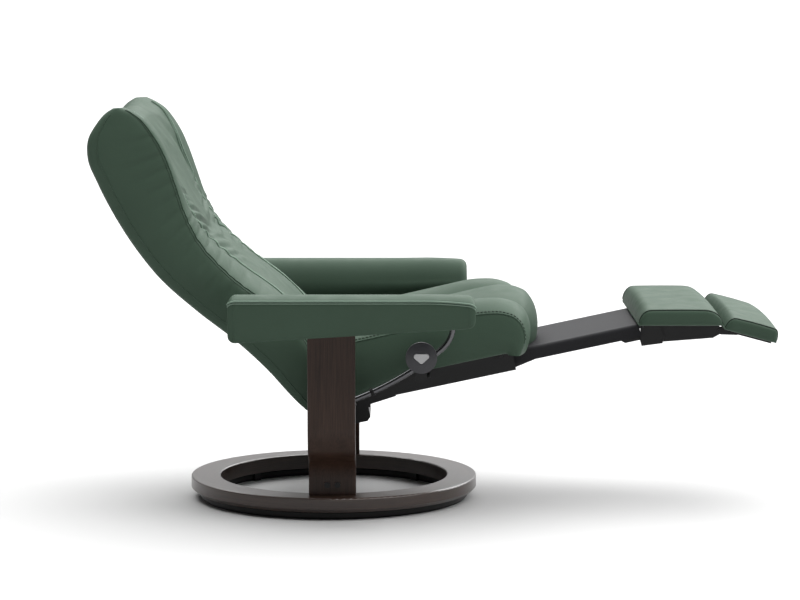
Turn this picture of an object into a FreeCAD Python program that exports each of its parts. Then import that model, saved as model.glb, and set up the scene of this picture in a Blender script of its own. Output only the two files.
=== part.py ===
import math
import os
import FreeCAD
import Part
import Sketcher
from FreeCAD import Vector, Placement, Rotation

# Wingback recliner on a round swivel base, drawn reclined with its leg rest run out.
# +X is forward, +Y is the sitter's left, +Z is up. The origin is on the floor, on the swivel axis.

doc = FreeCAD.newDocument("Recliner")
sheet = doc.addObject("Spreadsheet::Sheet", "Sizes")
SIDES = (("right", -1), ("left", 1))


# Driving sizes, in millimetres and degrees
SIZES = [
    # Swivel base
    ("ring_outer", 315), ("ring_inner", 250), ("ring_base", 16.7), ("ring_thick", 32),
    ("ring_round", 3), ("ring_bevel", 8), ("base_step_in", 6), ("base_step_out", 19),
    ("groove_inset", 5), ("groove_deep", 6), ("race_thick", 3), ("race_play", 1),
    ("base_wall", 3), ("pad_thick", 4), ("pad_inset", 4), ("glide_count", 12),
    ("glide_round", 7), ("seat_gap", 0.3),
    ("screw_count", 8), ("clip_count", 4),
    # Bent uprights and cross bar
    ("upright_wide", 100), ("upright_centre", 3), ("upright_thick", 24), ("foot_inset", 14),
    ("top_y", 346), ("foot_straight", 33), ("bend_radius", 65), ("bend_angle", 60),
    ("upright_round", 3), ("bolt_radius", 5), ("bolt_head", 9), ("bolt_pitch", 52),
    ("bar_high", 24), ("bar_wide", 40), ("bar_wall", 2), ("bar_lift", 10),
    # Arms
    ("arm_inner", 335), ("arm_wide", 90), ("arm_rear", -208), ("arm_front", 302),
    ("arm_under_rear", 391), ("arm_slope", 3.5), ("arm_top", 480), ("arm_fall_x", 200), ("arm_crown", 17),
    ("arm_roll", 24), ("arm_bulge", 2), ("arm_corner", 12), ("plate_thick", 4), ("plate_wide", 50),
    ("plate_rear", -60), ("plate_front", 280),
    # Glide rails: an arc about the glide centre, then a bend up into the arm
    ("glide_x", -191), ("rail_low", 215), ("rail_arc", 670), ("rail_round", 6), ("rail_y", 320),
    ("rail_rear", -45), ("rail_bend", 70), ("rail_end_x", 258), ("collar_x", 88),
    ("collar_round", 8.5), ("collar_long", 7),
    # Seat, drawn level and tilted as one
    ("seat_tilt", 12), ("seat_lift", 270.8), ("seat_half", 272), ("seat_rear", 30),
    ("seat_deep", 118), ("seat_side", 96), ("seat_channel", 107), ("lobe_half", 130),
    ("nose_drop", 15), ("pan_thick", 8.5), ("pan_half", 245),
    ("pan_lip", 3), ("pan_front", 372),
    # Leg rest runner
    ("housing_half", 167), ("housing_high", 43), ("housing_wall", 2), ("housing_rear", 52),
    ("housing_front", 388), ("bezel_long", 6), ("beam_inset", 12), ("beam_thick", 28),
    ("beam_wall", 2), ("beam_play", 0.5), ("beam_rear", 335), ("beam_front", 672),
    ("beam_round", 8), ("tube_round", 9), ("tube_rear", 16), ("tube_front", 322),
    ("rod_round", 5.5), ("rod_rear", 300), ("block_at", 600), ("block_long", 12),
    ("unit_half", 62), ("unit_long", 150), ("unit_deep", 58), ("unit_foot", 86), ("unit_step", 23),
    ("unit_behind", 40), ("wedge_long", 47), ("wedge_inset", 3), ("tongue_half", 110),
    # Footrest and its flap, both placed from the hinge at the beam's front end
    ("hinge_out", 35.85), ("hinge_drop", 51.09), ("foot_half", 240), ("foot_back", 49),
    ("foot_long", 178), ("foot_above", 36), ("foot_deep", 39), ("tray_thick", 3),
    ("tray_inset", 18), ("flap_ahead", 3), ("flap_rise", 16), ("flap_long", 110),
    ("flap_deep", 33), ("flap_lift", 12), ("flap_tilt", 15), ("pin_round", 4),
    ("pin_play", 0.3), ("ear_y", 132), ("ear_thick", 4),
    # Hand wheels
    ("wheel_x", 191), ("wheel_z", 351), ("wheel_round", 33), ("wheel_thick", 20),
    ("wheel_dome", 7), ("stud_round", 4), ("shoe_thick", 16),
    ("shoe_long", 24), ("shoe_x", 40), ("shoe_above", 14), ("bracket_thick", 4),
    ("bracket_lap", 12), ("insert_round", 16), ("insert_corner", 6),
    # Back and head
    ("back_clear", 30), ("back_pivot_x", -14), ("back_pivot_z", 292), ("shell_step", 50),
    ("frame_inset", 13), ("frame_round", 10), ("frame_foot_x", -40), ("frame_foot_z", 297),
    ("frame_top_x", -350), ("frame_top_z", 600), ("split_gap", 4), ("head_pivot_in", 20),
    ("head_y", 196), ("head_tube", 8), ("head_top_x", -455), ("head_top_z", 800),
    ("lug_space", 44), ("ear_space", 13),
    # Switch
    ("switch_x", 120), ("switch_long", 62), ("switch_high", 26), ("rocker_long", 22),
]
for row, (alias, value) in enumerate(SIZES, start=1):
    sheet.set("A%d" % row, alias)
    sheet.set("B%d" % row, str(value))
    sheet.setAlias("B%d" % row, alias)
doc.recompute()
ALIASES = sorted((alias for alias, value in SIZES), key=len, reverse=True)
parts = []


def size(alias):
    """A driving size, read from the sheet."""
    return float(sheet.get(alias))


def bound(text):
    """An expression text with each size's name turned into a reference to its cell."""
    words = text.replace("(", " ( ").replace(")", " ) ").split()
    return " ".join("Sizes." + word if word in ALIASES else word for word in words)


def keep(obj, label):
    """Names a finished sub-part and adds it to those that are written out."""
    obj.Label = label
    parts.append(obj)
    return obj


def feature(label, shape, place=None):
    """A sub-part made of free shapes."""
    obj = doc.addObject("Part::Feature", label)
    obj.Shape = shape
    if place:
        obj.Placement = place
    return keep(obj, label)


def plane_of(body, role):
    """One of a body's own origin planes or axes."""
    return [item for item in body.Origin.OriginFeatures if item.Role == role][0]


def outline(body, role, corners, name="Outline"):
    """A closed sketch of straight lines. Each corner is two expressions, measured from the origin."""
    sketch = body.newObject("Sketcher::SketchObject", name)
    sketch.AttachmentSupport = [(plane_of(body, role), "")]
    sketch.MapMode = "FlatFace"
    add_loop(sketch, corners)
    return sketch


def add_loop(sketch, corners):
    """Adds one closed loop of lines, its corners held by sizes from the sheet."""
    first = sketch.GeometryCount
    count = len(corners)
    turn = 2 * math.pi / count
    start = [Vector(100 * math.cos(turn * i), 100 * math.sin(turn * i), 0) for i in range(count)]
    for i in range(count):
        sketch.addGeometry(Part.LineSegment(start[i], start[(i + 1) % count]), False)
    for i in range(count):
        after = first + (i + 1) % count
        sketch.addConstraint(Sketcher.Constraint("Coincident", first + i, 2, after, 1))
    for i, (across, up) in enumerate(corners):
        for kind, text, value in (("DistanceX", across, start[i].x), ("DistanceY", up, start[i].y)):
            index = sketch.addConstraint(Sketcher.Constraint(kind, -1, 1, first + i, 1, value))
            sketch.setExpression("Constraints[%d]" % index, bound(text))


def add_circle(sketch, across, up, radius):
    """Adds one circle, placed and sized from the sheet."""
    index = sketch.addGeometry(Part.Circle(Vector(10, 10, 0), Vector(0, 0, 1), 5), False)
    for kind, text, value in (("DistanceX", across, 10), ("DistanceY", up, 10)):
        held = sketch.addConstraint(Sketcher.Constraint(kind, -1, 1, index, 3, value))
        sketch.setExpression("Constraints[%d]" % held, bound(text))
    held = sketch.addConstraint(Sketcher.Constraint("Radius", index, 5))
    sketch.setExpression("Constraints[%d]" % held, bound(radius))


def new_body(label):
    """An empty body that becomes one sub-part."""
    body = doc.addObject("PartDesign::Body", label)
    return keep(body, label)


def pad(body, sketch, length, both_ways=True):
    """Pads a sketch by an expression, half each way unless told otherwise."""
    item = body.newObject("PartDesign::Pad", "Pad")
    item.Profile = sketch
    item.setExpression("Length", bound(length))
    if both_ways:
        item.SideType = "Symmetric"
    doc.recompute()
    return item


def pocket(body, sketch, length=None, reverse=False):
    """Cuts a sketch through the body, or as deep as an expression says."""
    before = body.Shape.Volume
    item = body.newObject("PartDesign::Pocket", "Pocket")
    item.Profile = sketch
    item.Reversed = reverse
    if length:
        item.setExpression("Length", bound(length))
    else:
        item.Type = "ThroughAll"
        item.SideType = "Symmetric"
    doc.recompute()
    if not item.Shape.Volume < before:
        raise ValueError("a pocket in %s cuts nothing" % body.Label)
    return item


def revolve(body, sketch, axis="Z_Axis", groove=False):
    """Turns a sketch about one of the body's axes, as a solid or as a groove."""
    before = body.Shape.Volume if groove else 0
    kind = "PartDesign::Groove" if groove else "PartDesign::Revolution"
    item = body.newObject(kind, "Turn")
    item.Profile = sketch
    item.ReferenceAxis = (plane_of(body, axis), [""])
    item.Angle = 360
    doc.recompute()
    if groove and not item.Shape.Volume < before:
        raise ValueError("a groove in %s cuts nothing" % body.Label)
    return item


def dress(body, kind, chosen, amount):
    """Fillets or chamfers the edges of the body's tip that a test picks."""
    tip = body.Tip
    names = ["Edge%d" % n for n, edge in enumerate(tip.Shape.Edges, 1) if chosen(edge)]
    item = body.newObject("PartDesign::" + kind, kind)
    item.Base = (tip, names)
    item.setExpression("Radius" if kind == "Fillet" else "Size", bound(amount))
    doc.recompute()
    return item


def repeat(body, original, count, axis="Z_Axis"):
    """Repeats a feature evenly about an axis of the body."""
    item = body.newObject("PartDesign::PolarPattern", "Pattern")
    item.Originals = [original]
    item.Axis = (plane_of(body, axis), [""])
    item.Angle = 360
    item.setExpression("Occurrences", bound(count))
    body.Tip = item
    doc.recompute()
    return item


def seat_place():
    """The tilted seat's own frame: its X runs up the seat towards the front, its Z stands square on it."""
    return Placement(Vector(0, 0, size("seat_lift")), Rotation(Vector(0, -1, 0), size("seat_tilt")))


def tilt_with_seat(obj):
    """Sets a sub-part that was drawn level onto the tilted seat."""
    obj.Placement = Placement(Vector(0, 0, 0), Rotation(Vector(0, -1, 0), 1))
    obj.setExpression("Placement.Base.z", "Sizes.seat_lift")
    obj.setExpression("Placement.Rotation.Angle", "Sizes.seat_tilt")


def rod(start, end, radius):
    """A round bar between two points."""
    run = end.sub(start)
    return Part.makeCylinder(radius, run.Length, start, run)


def block(low, high):
    """A box between two opposite corners."""
    return Part.makeBox(high[0] - low[0], high[1] - low[1], high[2] - low[2], Vector(*low))


def round_about(radius, count, start=0):
    """Evenly spaced places on a circle about the swivel axis."""
    step = 360 / count
    return [(radius, start + step * i) for i in range(int(count))]


def turned(shape, degrees):
    """A copy of a shape, turned about the swivel axis."""
    other = shape.copy()
    other.rotate(Vector(0, 0, 0), Vector(0, 0, 1), degrees)
    return other


# Cushions are lofts through closed sections of lines and shallow arcs
def side_of_loop(start, end, bulge, outward):
    """One side of a section: a line, or an arc that stands off its chord by bulge."""
    if abs(bulge) < 0.01:
        return Part.makeLine(start, end)
    middle = start.add(end).multiply(0.5).add(Vector(outward).multiply(bulge))
    return Part.Arc(start, middle, end).toShape()


def loop_at(base, direction, corners, bulges):
    """A closed section in the plane of Y and a direction. Corners are (y, distance from the base)."""
    points = [base.add(Vector(0, y, 0)).add(Vector(direction).multiply(far)) for y, far in corners]
    sides = []
    for i, bulge in enumerate(bulges):
        start = points[i]
        end = points[(i + 1) % len(points)]
        run = end.sub(start)
        across = Vector(0, 1, 0)
        outward = Vector(direction).multiply(run.dot(across)).sub(across.multiply(run.dot(direction)))
        outward = outward.multiply(-1 / max(outward.Length, 0.001))
        sides.append(side_of_loop(start, end, bulge, outward))
    return Part.Wire(sides)


def heading(degrees):
    """A unit direction in the side view, measured up from forward."""
    angle = math.radians(degrees)
    return Vector(math.cos(angle), 0, math.sin(angle))


def loft(loops, straight=True):
    """A solid through closed sections, with straight or smooth runs between them."""
    shape = Part.makeLoft(loops, True, straight)
    if shape.Volume < 0:
        shape.reverse()
    return shape


# Swivel base
def ring_outline(inner, outer, low, high):
    """The four corners of a ring's section."""
    return [(inner, low), (outer, low), (outer, high), (inner, high)]


BASE_INNER = "(ring_inner + base_step_in)"
BASE_OUTER = "(ring_outer - base_step_out)"
GROOVE_INNER = "(ring_inner + base_step_in + groove_inset)"
GROOVE_OUTER = "(ring_outer - base_step_out - groove_inset)"
GLIDE_RADIUS = "((ring_inner + base_step_in + ring_outer - base_step_out) / 2)"
FOOT_Y = "(ring_inner + foot_inset)"


def glide_radius():
    """Radius of the circle of glide pads, half way across the base ring."""
    return (size("ring_inner") + size("base_step_in") + size("ring_outer") - size("base_step_out")) / 2


def foot_y():
    """How far an upright's foot stands from the middle, from the ring that it stands on."""
    return size("ring_inner") + size("foot_inset")


def make_floor_pad_ring():
    """Flat ring of hard rubber that the chair stands on."""
    body = new_body("floor_pad_ring")
    corners = ring_outline(BASE_INNER + " + pad_inset", BASE_OUTER + " - pad_inset", "0", "pad_thick")
    revolve(body, outline(body, "XZ_Plane", corners))


def make_base_ring():
    """Pressed steel ring with turned-down rims, which stays still while the chair turns on it."""
    body = new_body("base_ring")
    top = "ring_base - seat_gap"
    under = "ring_base - seat_gap - base_wall"
    corners = [
        (BASE_INNER, "pad_thick"),
        (BASE_OUTER, "pad_thick"),
        (BASE_OUTER, under),
        (BASE_OUTER + " - base_wall", top),
        (BASE_INNER + " + base_wall", top),
        (BASE_INNER, under),
    ]
    revolve(body, outline(body, "XZ_Plane", corners))
    hollow = ring_outline(BASE_INNER + " + base_wall", BASE_OUTER + " - base_wall",
                          "pad_thick", "pad_thick + base_wall * 2")
    revolve(body, outline(body, "XZ_Plane", hollow, "Hollow"), groove=True)
    seat = body.newObject("Sketcher::SketchObject", "GlideSeat")
    seat.AttachmentSupport = [(plane_of(body, "XY_Plane"), "")]
    seat.MapMode = "FlatFace"
    seat.setExpression("AttachmentOffset.Base.z", bound("ring_base - seat_gap - base_wall"))
    add_circle(seat, GLIDE_RADIUS, "0", "glide_round + seat_gap")
    cut = pocket(body, seat, "base_wall * 2", reverse=True)
    repeat(body, cut, "glide_count")


def make_glide_pads():
    """Slippery pads, seated in the base ring, that the chair's race turns on."""
    top = size("ring_base") + size("groove_deep") - size("race_thick") - size("seat_gap")
    low = size("ring_base") - size("seat_gap") - size("base_wall")
    pads = [turned(Part.makeCylinder(size("glide_round"), top - low, Vector(radius, 0, low)), angle)
            for radius, angle in round_about(glide_radius(), size("glide_count"))]
    feature("glide_pads", Part.makeCompound(pads))


def make_wood_ring():
    """Turned wooden ring with eased top edges and a groove beneath for the race."""
    body = new_body("wood_ring")
    top = "ring_base + ring_thick"
    revolve(body, outline(body, "XZ_Plane", ring_outline("ring_inner", "ring_outer", "ring_base", top)))
    height = size("ring_base") + size("ring_thick")
    flat = 0.01
    dress(body, "Fillet", lambda edge: abs(edge.BoundBox.ZMin - height) + edge.BoundBox.ZLength < flat, "ring_round")
    base = size("ring_base")
    rim = 2 * size("ring_outer") - 1
    dress(body, "Chamfer", lambda edge: abs(edge.BoundBox.ZMax - base) < 0.01 and edge.BoundBox.XLength > rim,
          "ring_bevel")
    groove = ring_outline(GROOVE_INNER, GROOVE_OUTER, "ring_base", "ring_base + groove_deep")
    revolve(body, outline(body, "XZ_Plane", groove, "RaceGroove"), groove=True)
    for side, sign in SIDES:
        holes = body.newObject("Sketcher::SketchObject", "BoltHoles")
        holes.AttachmentSupport = [(plane_of(body, "XY_Plane"), "")]
        holes.MapMode = "FlatFace"
        for end in ("-", "+"):
            along = "upright_centre %s bolt_pitch / 2" % end
            add_circle(holes, along, "%d * %s" % (sign, FOOT_Y), "bolt_radius + seat_gap")
        pocket(body, holes)
        heads = body.newObject("Sketcher::SketchObject", "HeadHoles")
        heads.AttachmentSupport = [(plane_of(body, "XY_Plane"), "")]
        heads.MapMode = "FlatFace"
        for end in ("-", "+"):
            along = "upright_centre %s bolt_pitch / 2" % end
            add_circle(heads, along, "%d * %s" % (sign, FOOT_Y), "bolt_head + seat_gap")
        pocket(body, heads, "ring_base + groove_deep + bolt_head", reverse=True)


def make_swivel_race():
    """Flat steel race in the wooden ring's groove, drilled for its screws."""
    body = new_body("swivel_race")
    top = "ring_base + groove_deep"
    corners = ring_outline(GROOVE_INNER + " + race_play", GROOVE_OUTER + " - race_play",
                           top + " - race_thick", top)
    revolve(body, outline(body, "XZ_Plane", corners))
    hole = body.newObject("Sketcher::SketchObject", "ScrewHole")
    hole.AttachmentSupport = [(plane_of(body, "XY_Plane"), "")]
    hole.MapMode = "FlatFace"
    add_circle(hole, GLIDE_RADIUS + " * 0.9659", GLIDE_RADIUS + " * 0.2588", "bolt_radius / 2 + seat_gap")
    cut = pocket(body, hole)
    repeat(body, cut, "screw_count")


def make_race_screws():
    """Screws that hold the race up in the wooden ring."""
    radius = size("bolt_radius") / 2
    top = size("ring_base") + size("groove_deep")
    thin = size("race_thick") / 2
    low = top - thin - size("race_thick") / 2
    shank = Part.makeCylinder(radius, thin + size("race_thick"), Vector(glide_radius(), 0, low))
    spots = round_about(glide_radius(), size("screw_count"), start=15)
    feature("race_screws", Part.makeCompound([turned(shank, angle) for radius, angle in spots]))


def make_retainer_clips():
    """Angle clips under the wooden ring that hook beneath the base ring's inner rim."""
    inner = size("ring_inner") + 0.5
    rim = size("ring_inner") + size("base_step_in") - 1
    low = size("pad_thick") * 0.2
    top = size("ring_base")
    stem = block((inner, -9, low), (rim, 9, top))
    reach = rim + size("pad_inset") + 0.5
    toe = block((inner, -9, low), (reach, 9, size("pad_thick") - size("seat_gap")))
    clip = stem.fuse(toe).removeSplitter()
    spots = round_about(inner, size("clip_count"), start=45)
    feature("retainer_clips", Part.makeCompound([turned(clip, angle) for radius, angle in spots]))


# Uprights, cross bar and arms
def arm_line(x):
    """Height of the arm's underside at a place along it."""
    slope = math.tan(math.radians(size("arm_slope")))
    return size("arm_under_rear") + (x - size("arm_rear")) * slope


def upright_curve(shift):
    """The bent plank's centre line, or a line beside it, as (y, z) points of lines and arcs."""
    angle = math.radians(size("bend_angle"))
    radius = size("bend_radius")
    offset = size("top_y") - foot_y()
    run = (offset - 2 * radius * (1 - math.cos(angle))) / math.sin(angle)
    start = size("ring_base") + size("ring_thick")
    bend = start + size("foot_straight")
    low = Vector(0, foot_y() + radius, bend)
    inner = radius - shift
    outer = radius + shift
    half = angle / 2
    near = Vector(0, low.y - inner * math.cos(angle), low.z + inner * math.sin(angle))
    far = near.add(Vector(0, run * math.sin(angle), run * math.cos(angle)))
    high = far.add(Vector(0, -outer * math.cos(angle), outer * math.sin(angle)))
    top = Vector(0, high.y + outer, high.z)
    first = Part.Arc(Vector(0, low.y - inner, low.z),
                     Vector(0, low.y - inner * math.cos(half), low.z + inner * math.sin(half)), near)
    second = Part.Arc(far, Vector(0, high.y + outer * math.cos(half), high.z - outer * math.sin(half)), top)
    foot = Vector(0, low.y - inner, start)
    head = Vector(0, top.y, arm_line(size("arm_front")))
    return foot, head, [Part.makeLine(foot, first.StartPoint), first.toShape(), Part.makeLine(near, far),
                        second.toShape(), Part.makeLine(top, head)]


def make_upright(side, sign):
    """Bent laminated plank from the ring's top to the arm, cut off along the arm's underside."""
    half = size("upright_thick") / 2
    foot_in, head_in, inside = upright_curve(-half)
    foot_out, head_out, outside = upright_curve(half)
    edges = inside + [Part.makeLine(head_in, head_out)] + outside + [Part.makeLine(foot_in, foot_out)]
    face = Part.Face(Part.Wire(Part.__sortEdges__(edges)))
    wide = size("upright_wide")
    face.translate(Vector(size("upright_centre") - wide / 2, 0, 0))
    plank = face.extrude(Vector(wide, 0, 0))
    front = size("upright_centre") + wide / 2
    rear = front - wide
    y_low = foot_y() - 60
    y_high = size("top_y") + 60
    top = 600
    back, ahead = rear - 5, front + 5
    lid = Part.makePolygon([Vector(back, y_low, arm_line(back)), Vector(ahead, y_low, arm_line(ahead)),
                            Vector(ahead, y_low, top), Vector(back, y_low, top),
                            Vector(back, y_low, arm_line(back))])
    plank = plank.cut(Part.Face(lid).extrude(Vector(0, y_high - y_low, 0)))
    soft = [edge for edge in plank.Edges if abs(edge.BoundBox.XMin - edge.BoundBox.XMax) < 0.01
            and edge.BoundBox.ZLength > 5]
    plank = plank.makeFillet(size("upright_round"), soft)
    start = size("ring_base") + size("ring_thick")
    for end in (-0.5, 0.5):
        x = size("upright_centre") + end * size("bolt_pitch")
        plank = plank.cut(Part.makeCylinder(size("bolt_radius"), 40, Vector(x, foot_y(), start - 1)))
    if sign < 0:
        plank = plank.mirror(Vector(0, 0, 0), Vector(0, 1, 0))
    feature("upright_" + side, plank)


def make_upright_bolts():
    """Bolts from beneath the wooden ring up into each upright's foot."""
    low = size("ring_base") + size("groove_deep") + 0.3
    bolts = []
    for side, sign in SIDES:
        for end in (-0.5, 0.5):
            place = Vector(size("upright_centre") + end * size("bolt_pitch"), sign * foot_y(), low)
            head = Part.makeCylinder(size("bolt_head") - 0.5, size("bolt_head") - 0.6, place)
            shank = Part.makeCylinder(size("bolt_radius") - 0.2, size("ring_thick") + 26, place)
            bolts.append(head.fuse(shank).removeSplitter())
    feature("upright_bolts", Part.makeCompound(bolts))


def make_cross_bar():
    """Steel box bar that ties the uprights' feet together."""
    body = new_body("cross_bar")
    low = "ring_base + ring_thick + bar_lift"
    rear = "upright_centre - bar_wide / 2"
    front = "upright_centre + bar_wide / 2"
    corners = [(rear, low), (front, low), (front, low + " + bar_high"), (rear, low + " + bar_high")]
    sketch = outline(body, "XZ_Plane", corners)
    inner = [(rear + " + bar_wall", low + " + bar_wall"), (front + " - bar_wall", low + " + bar_wall"),
             (front + " - bar_wall", low + " + bar_high - bar_wall"),
             (rear + " + bar_wall", low + " + bar_high - bar_wall")]
    add_loop(sketch, inner)
    pad(body, sketch, FOOT_Y + " * 2 - upright_thick")


def make_cross_bar_bolts():
    """Button-head bolts through each upright's foot into the bar's ends."""
    start = size("ring_base") + size("ring_thick") + size("bar_lift") + size("bar_high") / 2
    outer = foot_y() + size("upright_thick") / 2
    bolts = []
    for side, sign in SIDES:
        for x in (-11, 11):
            place = Vector(size("upright_centre") + x, sign * outer, start)
            bolts.append(Part.makeCylinder(6, 3, place, Vector(0, sign, 0)))
    feature("cross_bar_bolts", Part.makeCompound(bolts))


def arm_plate(grow):
    """Steel plate under an arm's padding, or the recess for it, drawn for the left arm."""
    middle = size("arm_inner") + size("arm_wide") / 2
    half = size("plate_wide") / 2 + grow
    rear = size("plate_rear") - grow
    front = size("plate_front") + grow
    thick = size("plate_thick") + grow
    low = middle - half
    corners = [Vector(rear, low, arm_line(rear)), Vector(front, low, arm_line(front)),
               Vector(front, low, arm_line(front) + thick), Vector(rear, low, arm_line(rear) + thick)]
    face = Part.Face(Part.makePolygon(corners + corners[:1]))
    return face.extrude(Vector(0, 2 * half, 0))


def make_arm(side, sign):
    """Padded arm: flat outer face, a top that rolls over to the inner side, rounded ends."""
    half = size("arm_wide") / 2
    round_off = size("arm_corner")
    rear = size("arm_rear")
    front = size("arm_front")
    stations = [(rear, 1.0), (rear + round_off * 0.3, 0.45), (rear + round_off, 0.08),
                (rear + 2.5 * round_off, 0), ((rear + front) / 2, 0), (size("arm_fall_x"), 0),
                (front - 4 * round_off, 0), (front - 2 * round_off, 0.03), (front - round_off, 0.1),
                (front - round_off * 0.3, 0.45), (front, 1.0)]
    loops = []
    for x, ease in stations:
        inset = ease * round_off
        low = arm_line(x) + inset * 0.7
        drop = inset + 6 * max(0, (x - size("arm_fall_x")) / 100)
        high = size("arm_top") - drop
        wide = half - inset
        base = Vector(x, size("arm_inner") + half, low)
        tall = high - low
        inside = tall - size("arm_roll") * (1 - 0.3 * ease)
        corners = [(-wide + 6, 0), (wide - 6, 0), (wide, 6), (wide, tall), (-wide, inside), (-wide, 6)]
        bulges = [0, 1.7, size("arm_bulge"), size("arm_crown"), size("arm_bulge"), 1.7]
        loops.append(loop_at(base, Vector(0, 0, 1), corners, bulges))
    shape = loft(loops).cut(arm_plate(size("seat_gap")))
    if sign < 0:
        shape = shape.mirror(Vector(0, 0, 0), Vector(0, 1, 0))
    feature("arm_" + side, shape)


def make_arm_plates():
    """The two arms' steel plates, each on its upright's top and on its rail's front end."""
    left = arm_plate(0)
    right = left.mirror(Vector(0, 0, 0), Vector(0, 1, 0))
    feature("arm_plates", Part.makeCompound([right, left]))


def glide_centre():
    """The centre of the rails' arc, which the seat glides about."""
    return Vector(size("glide_x"), 0, size("rail_low") + size("rail_arc"))


def rail_height(x):
    """Height of the glide arc's centre line at a place along it."""
    return glide_centre().z - math.sqrt(size("rail_arc") ** 2 - (x - size("glide_x")) ** 2)


def rail_bend_start():
    """Where the rail leaves the glide arc to bend upright, and the bend's own angle there."""
    radius = size("rail_arc")
    bend = size("rail_bend")
    reach = size("rail_end_x") - bend - size("glide_x")
    lean = math.asin(reach / (radius - bend))
    return size("glide_x") + radius * math.sin(lean), lean


def rail_path():
    """The rail's centre line in the side view, from its rear end to the arm plate."""
    centre = glide_centre()
    radius = size("rail_arc")
    bend = size("rail_bend")
    knee_x, lean = rail_bend_start()
    first = math.asin((size("rail_rear") - size("glide_x")) / radius)
    spots = (first, (first + lean) / 2, lean)
    on_arc = [centre.add(Vector(radius * math.sin(a), 0, -radius * math.cos(a))) for a in spots]
    hub = centre.add(Vector((radius - bend) * math.sin(lean), 0, -(radius - bend) * math.cos(lean)))
    spots = (lean, (lean + math.pi / 2) / 2, math.pi / 2)
    on_bend = [hub.add(Vector(bend * math.sin(a), 0, -bend * math.cos(a))) for a in spots]
    top = Vector(on_bend[2].x, 0, arm_line(size("rail_end_x")))
    edges = [Part.Arc(*on_arc).toShape(), Part.Arc(*on_bend).toShape(), Part.makeLine(on_bend[2], top)]
    return edges, on_arc[0]


def make_rail(side, sign):
    """Steel rod that the seat glides on."""
    edges, start = rail_path()
    lean = math.asin((size("rail_rear") - size("glide_x")) / size("rail_arc"))
    along = Vector(math.cos(lean), 0, math.sin(lean))
    section = Part.Wire(Part.Circle(start, along, size("rail_round")).toShape())
    pipe = Part.Wire(edges).makePipeShell([section], True, False)
    pipe.translate(Vector(0, sign * size("rail_y"), 0))
    feature("rail_" + side, pipe)


def arc_slug(x, length, radius, sign):
    """A round bar bent to the glide arc, centred at a place along the rail."""
    reach = math.asin((x - size("glide_x")) / size("rail_arc"))
    half = length / 2 / size("rail_arc")
    centre = glide_centre().add(Vector(0, sign * size("rail_y"), 0))
    first = reach - half
    start = centre.add(Vector(size("rail_arc") * math.sin(first), 0, -size("rail_arc") * math.cos(first)))
    along = Vector(math.cos(first), 0, math.sin(first))
    disc = Part.Face(Part.Wire(Part.Circle(start, along, radius).toShape()))
    return disc.revolve(centre, Vector(0, -1, 0), math.degrees(2 * half))


def arc_block(x, length, below, above, inner, outer, sign):
    """A block about the rail, square to it, between two distances from the middle plane."""
    reach = math.degrees(math.asin((x - size("glide_x")) / size("rail_arc")))
    shape = block((-length / 2, inner, -below), (length / 2, outer, above))
    shape.rotate(Vector(0, 0, 0), Vector(0, -1, 0), reach)
    shape.translate(Vector(x, 0, rail_height(x)))
    if sign < 0:
        shape = shape.mirror(Vector(0, 0, 0), Vector(0, 1, 0))
    return shape


def make_rail_clamps():
    """Blocks bolted inside the uprights that grip the rails' rear ends."""
    inner = size("rail_y") - size("rail_round") - 3
    outer = size("top_y") - size("upright_thick") / 2
    clamps = []
    for side, sign in SIDES:
        shape = arc_block(size("rail_rear") + 5, 12, 11, 11, inner, outer, sign)
        clamps.append(shape.cut(arc_slug(size("rail_rear") + 5, 30, size("rail_round") + 0.02, sign)))
    feature("rail_clamps", Part.makeCompound(clamps))


def make_rail_collars():
    """Rubber collars that stop the seat at the rear end of its glide."""
    collars = []
    for side, sign in SIDES:
        bore = arc_slug(size("collar_x"), size("collar_long") + 6, size("rail_round") + 0.02, sign)
        collars.append(arc_slug(size("collar_x"), size("collar_long"), size("collar_round"), sign).cut(bore))
    feature("rail_collars", Part.makeCompound(collars))


# Seat
def seat_stations():
    """The seat cushion's sections: base along the seat, base height, lean, depth, nose share."""
    rear = size("seat_rear")
    front = size("pan_front")
    deep = size("seat_deep")
    return [(rear, 0, 90, deep * 0.9, 0), (rear + 12, 0, 90, deep * 0.97, 0),
            ((rear + front) / 2, 0, 90, deep * 0.985, 0), (front - 28, 0, 90, deep, 0),
            (front - 8, 0, 72, deep, 0.3), (front + 4, 0, 47, deep * 0.94, 1),
            (front + 8, 0, 18, deep * 0.70, 1.1), (front + 10, -1, -6, deep * 0.56, 1)]


def make_seat_cushion():
    """Seat pad with three lengthwise lobes that roll over its front."""
    half = size("seat_half")
    lobe = size("lobe_half")
    deep = size("seat_deep")
    loops = []
    for along, lift, lean, tall, nose in seat_stations():
        share = tall / deep
        crease = tall - (deep - size("seat_channel"))
        edge = tall - (deep - size("seat_side")) - nose * size("nose_drop") * 0.9
        corners = [(-half + 8, 0), (half - 8, 0), (half, edge),
                   (lobe, crease), (-lobe, crease), (-half, edge)]
        crown = deep - size("seat_channel")
        lobe_rise = (17 - 0.35 * nose * size("nose_drop")) * share
        bulges = [0, 5, lobe_rise, crown, lobe_rise, 5]
        loops.append(loop_at(Vector(along, 0, lift + 0.3), heading(lean), corners, bulges))
    feature("seat_cushion", loft(loops, straight=False), seat_place())


def make_seat_pan():
    """Pressed pan that carries the cushion, with a turned-up lip all round."""
    body = new_body("seat_pan")
    corners = [("seat_rear", "0 - pan_half"), ("pan_front", "0 - pan_half"),
               ("pan_front", "pan_half"), ("seat_rear", "pan_half")]
    sketch = outline(body, "XY_Plane", corners)
    base = pad(body, sketch, "pan_thick", both_ways=False)
    base.Reversed = True
    doc.recompute()
    dress(body, "Fillet", lambda edge: edge.BoundBox.ZLength > 5, "pan_lip * 8")
    tilt_with_seat(body)


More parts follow.
